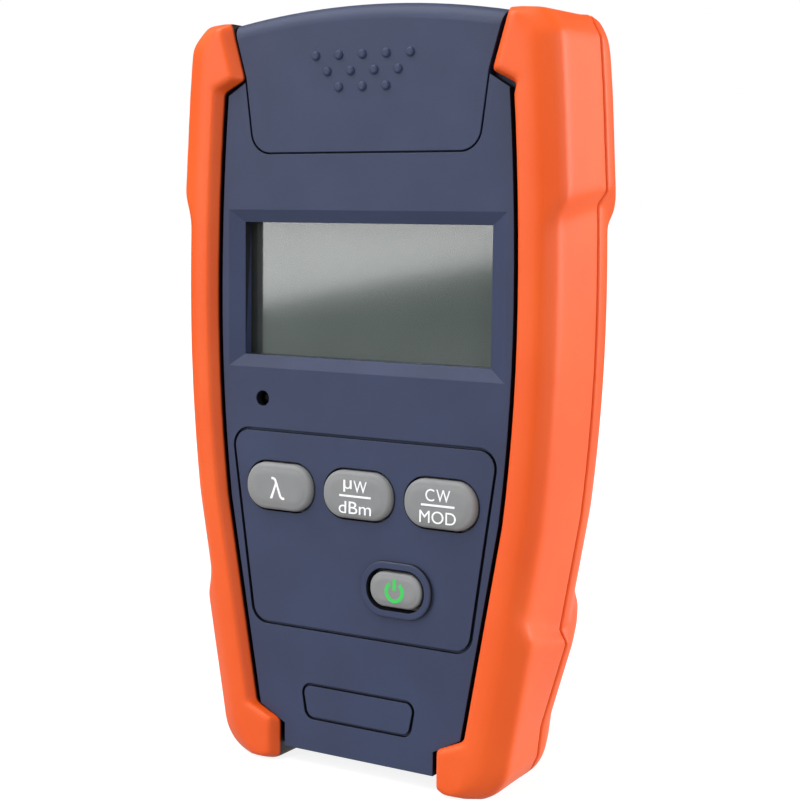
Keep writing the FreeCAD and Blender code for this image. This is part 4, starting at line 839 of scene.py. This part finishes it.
# The studio
# A pale floor and plain soft light: a wide softbox in front on the left, whose lower edge shows
# in the lens, a strong and a weak one on the right and one overhead.
FLOOR_HALF = 30.0
FLOOR_NEAR = 0.25
FLOOR_FAR = 0.6
FLOOR_GLOW = 0.85
FLOOR_REFLECTED_GLOW = 0.9
FLOOR_GREY = (148, 148, 148)
FLOOR_IN_REFLECTION = (70, 70, 70)
CAMERA_AT = (179.6 * MM, -303.7 * MM, 117.4 * MM)
CAMERA_YAW = 30.77
CAMERA_PITCH = 6.33
CAMERA_ROLL = 0.63
FOCAL_SHARE = 1650 / 800
SENSOR = 36.0
SKY_FILL = 0.2

verts = [(-FLOOR_HALF, -FLOOR_HALF, 0), (FLOOR_HALF, -FLOOR_HALF, 0),
         (FLOOR_HALF, FLOOR_HALF, 0), (-FLOOR_HALF, FLOOR_HALF, 0)]
floor_finish, tree, shader = material("pale_floor", FLOOR_GREY, 0.9)
tree.links.new(spread(tree, noise(tree, 0.2), 0.85, 0.95), shader.inputs["Roughness"])
rays = tree.nodes.new("ShaderNodeLightPath").outputs
# To glossy rays the floor is darker than it is lit: painted reflection.
tree.links.new(ramp(tree, rays["Is Glossy Ray"], [(0.0, FLOOR_GREY), (1.0, FLOOR_IN_REFLECTION)]),
               shader.inputs["Base Color"])
place = tree.nodes.new("ShaderNodeTexCoord")
reach = tree.nodes.new("ShaderNodeVectorMath")
reach.operation = "LENGTH"
tree.links.new(place.outputs["Object"], reach.inputs[0])
away = reach.outputs["Value"]
seen = calc(tree, "MAXIMUM", rays["Is Camera Ray"], rays["Is Transmission Ray"])
glow = calc(tree, "MULTIPLY", seen,
            spread(tree, away, FLOOR_GLOW, 1.0, FLOOR_NEAR, FLOOR_FAR))
# Near the object the floor also glows to glossy rays though it is no lamp: painted reflection that
# puts a pale sheen on the object's lower parts.
reflected_glow = spread(tree, away, FLOOR_REFLECTED_GLOW, 0.0, FLOOR_NEAR, FLOOR_FAR)
tree.links.new(calc(tree, "MULTIPLY_ADD", reflected_glow, rays["Is Glossy Ray"], glow),
               shader.inputs["Emission Strength"])
shader.inputs["Emission Color"].default_value = (1, 1, 1, 1)
floor = add_mesh("floor", verts, [(0, 1, 2, 3)], floor_finish, smooth=False)

world = bpy.data.worlds.new("studio")
bpy.context.scene.world = world
world.use_nodes = True
sky = world.node_tree
background = sky.nodes["Background"]
background.inputs["Color"].default_value = (1, 1, 1, 1)
rays = sky.nodes.new("ShaderNodeLightPath").outputs
seen = calc(sky, "MAXIMUM", rays["Is Camera Ray"], rays["Is Transmission Ray"])
sky.links.new(spread(sky, seen, SKY_FILL, 1.0), background.inputs["Strength"])


def softbox(name, middle, aim, wide, high, radiance, roll=0.0):
    """A rectangular lamp of an even brightness, turned to a point. Power is pi times area."""
    data = bpy.data.lights.new(name, "AREA")
    data.shape = "RECTANGLE"
    data.size = wide
    data.size_y = high
    data.energy = radiance * math.pi * wide * high
    lamp_object = bpy.data.objects.new(name, data)
    bpy.context.scene.collection.objects.link(lamp_object)
    towards = Vector(aim) - Vector(middle)
    lamp_object.matrix_world = (Matrix.Translation(middle)
                                @ towards.to_track_quat("-Z", "Y").to_matrix().to_4x4()
                                @ Matrix.Rotation(math.radians(roll), 4, "Z"))


softbox("front_softbox", (-0.747, -1.066, 0.494), (-0.482, -0.642, 0.494),
        wide=1.0, high=0.9, radiance=3.4, roll=10.7)
softbox("side_softbox", (1.05, 0.75, 0.36), (0, 0, 0.07), wide=0.9, high=0.8, radiance=6.8)
softbox("fill_softbox", (1.0, -0.45, 0.35), (0, 0, 0.08), wide=0.8, high=0.8, radiance=2.8)
softbox("top_softbox", (-0.5, -0.4, 1.2), (0, 0, 0.1), wide=1.2, high=1.2, radiance=4.6)

camera_data = bpy.data.cameras.new("camera")
camera_data.sensor_width = SENSOR
camera_data.lens = FOCAL_SHARE * SENSOR
camera_data.clip_start = 0.01
camera = bpy.data.objects.new("camera", camera_data)
bpy.context.scene.collection.objects.link(camera)
camera.matrix_world = (Matrix.Translation(CAMERA_AT)
                       @ Matrix.Rotation(math.radians(CAMERA_YAW), 4, "Z")
                       @ Matrix.Rotation(math.radians(90 - CAMERA_PITCH), 4, "X")
                       @ Matrix.Rotation(math.radians(CAMERA_ROLL), 4, "Z"))
bpy.context.scene.camera = camera
bpy.context.scene.view_settings.view_transform = "Standard"
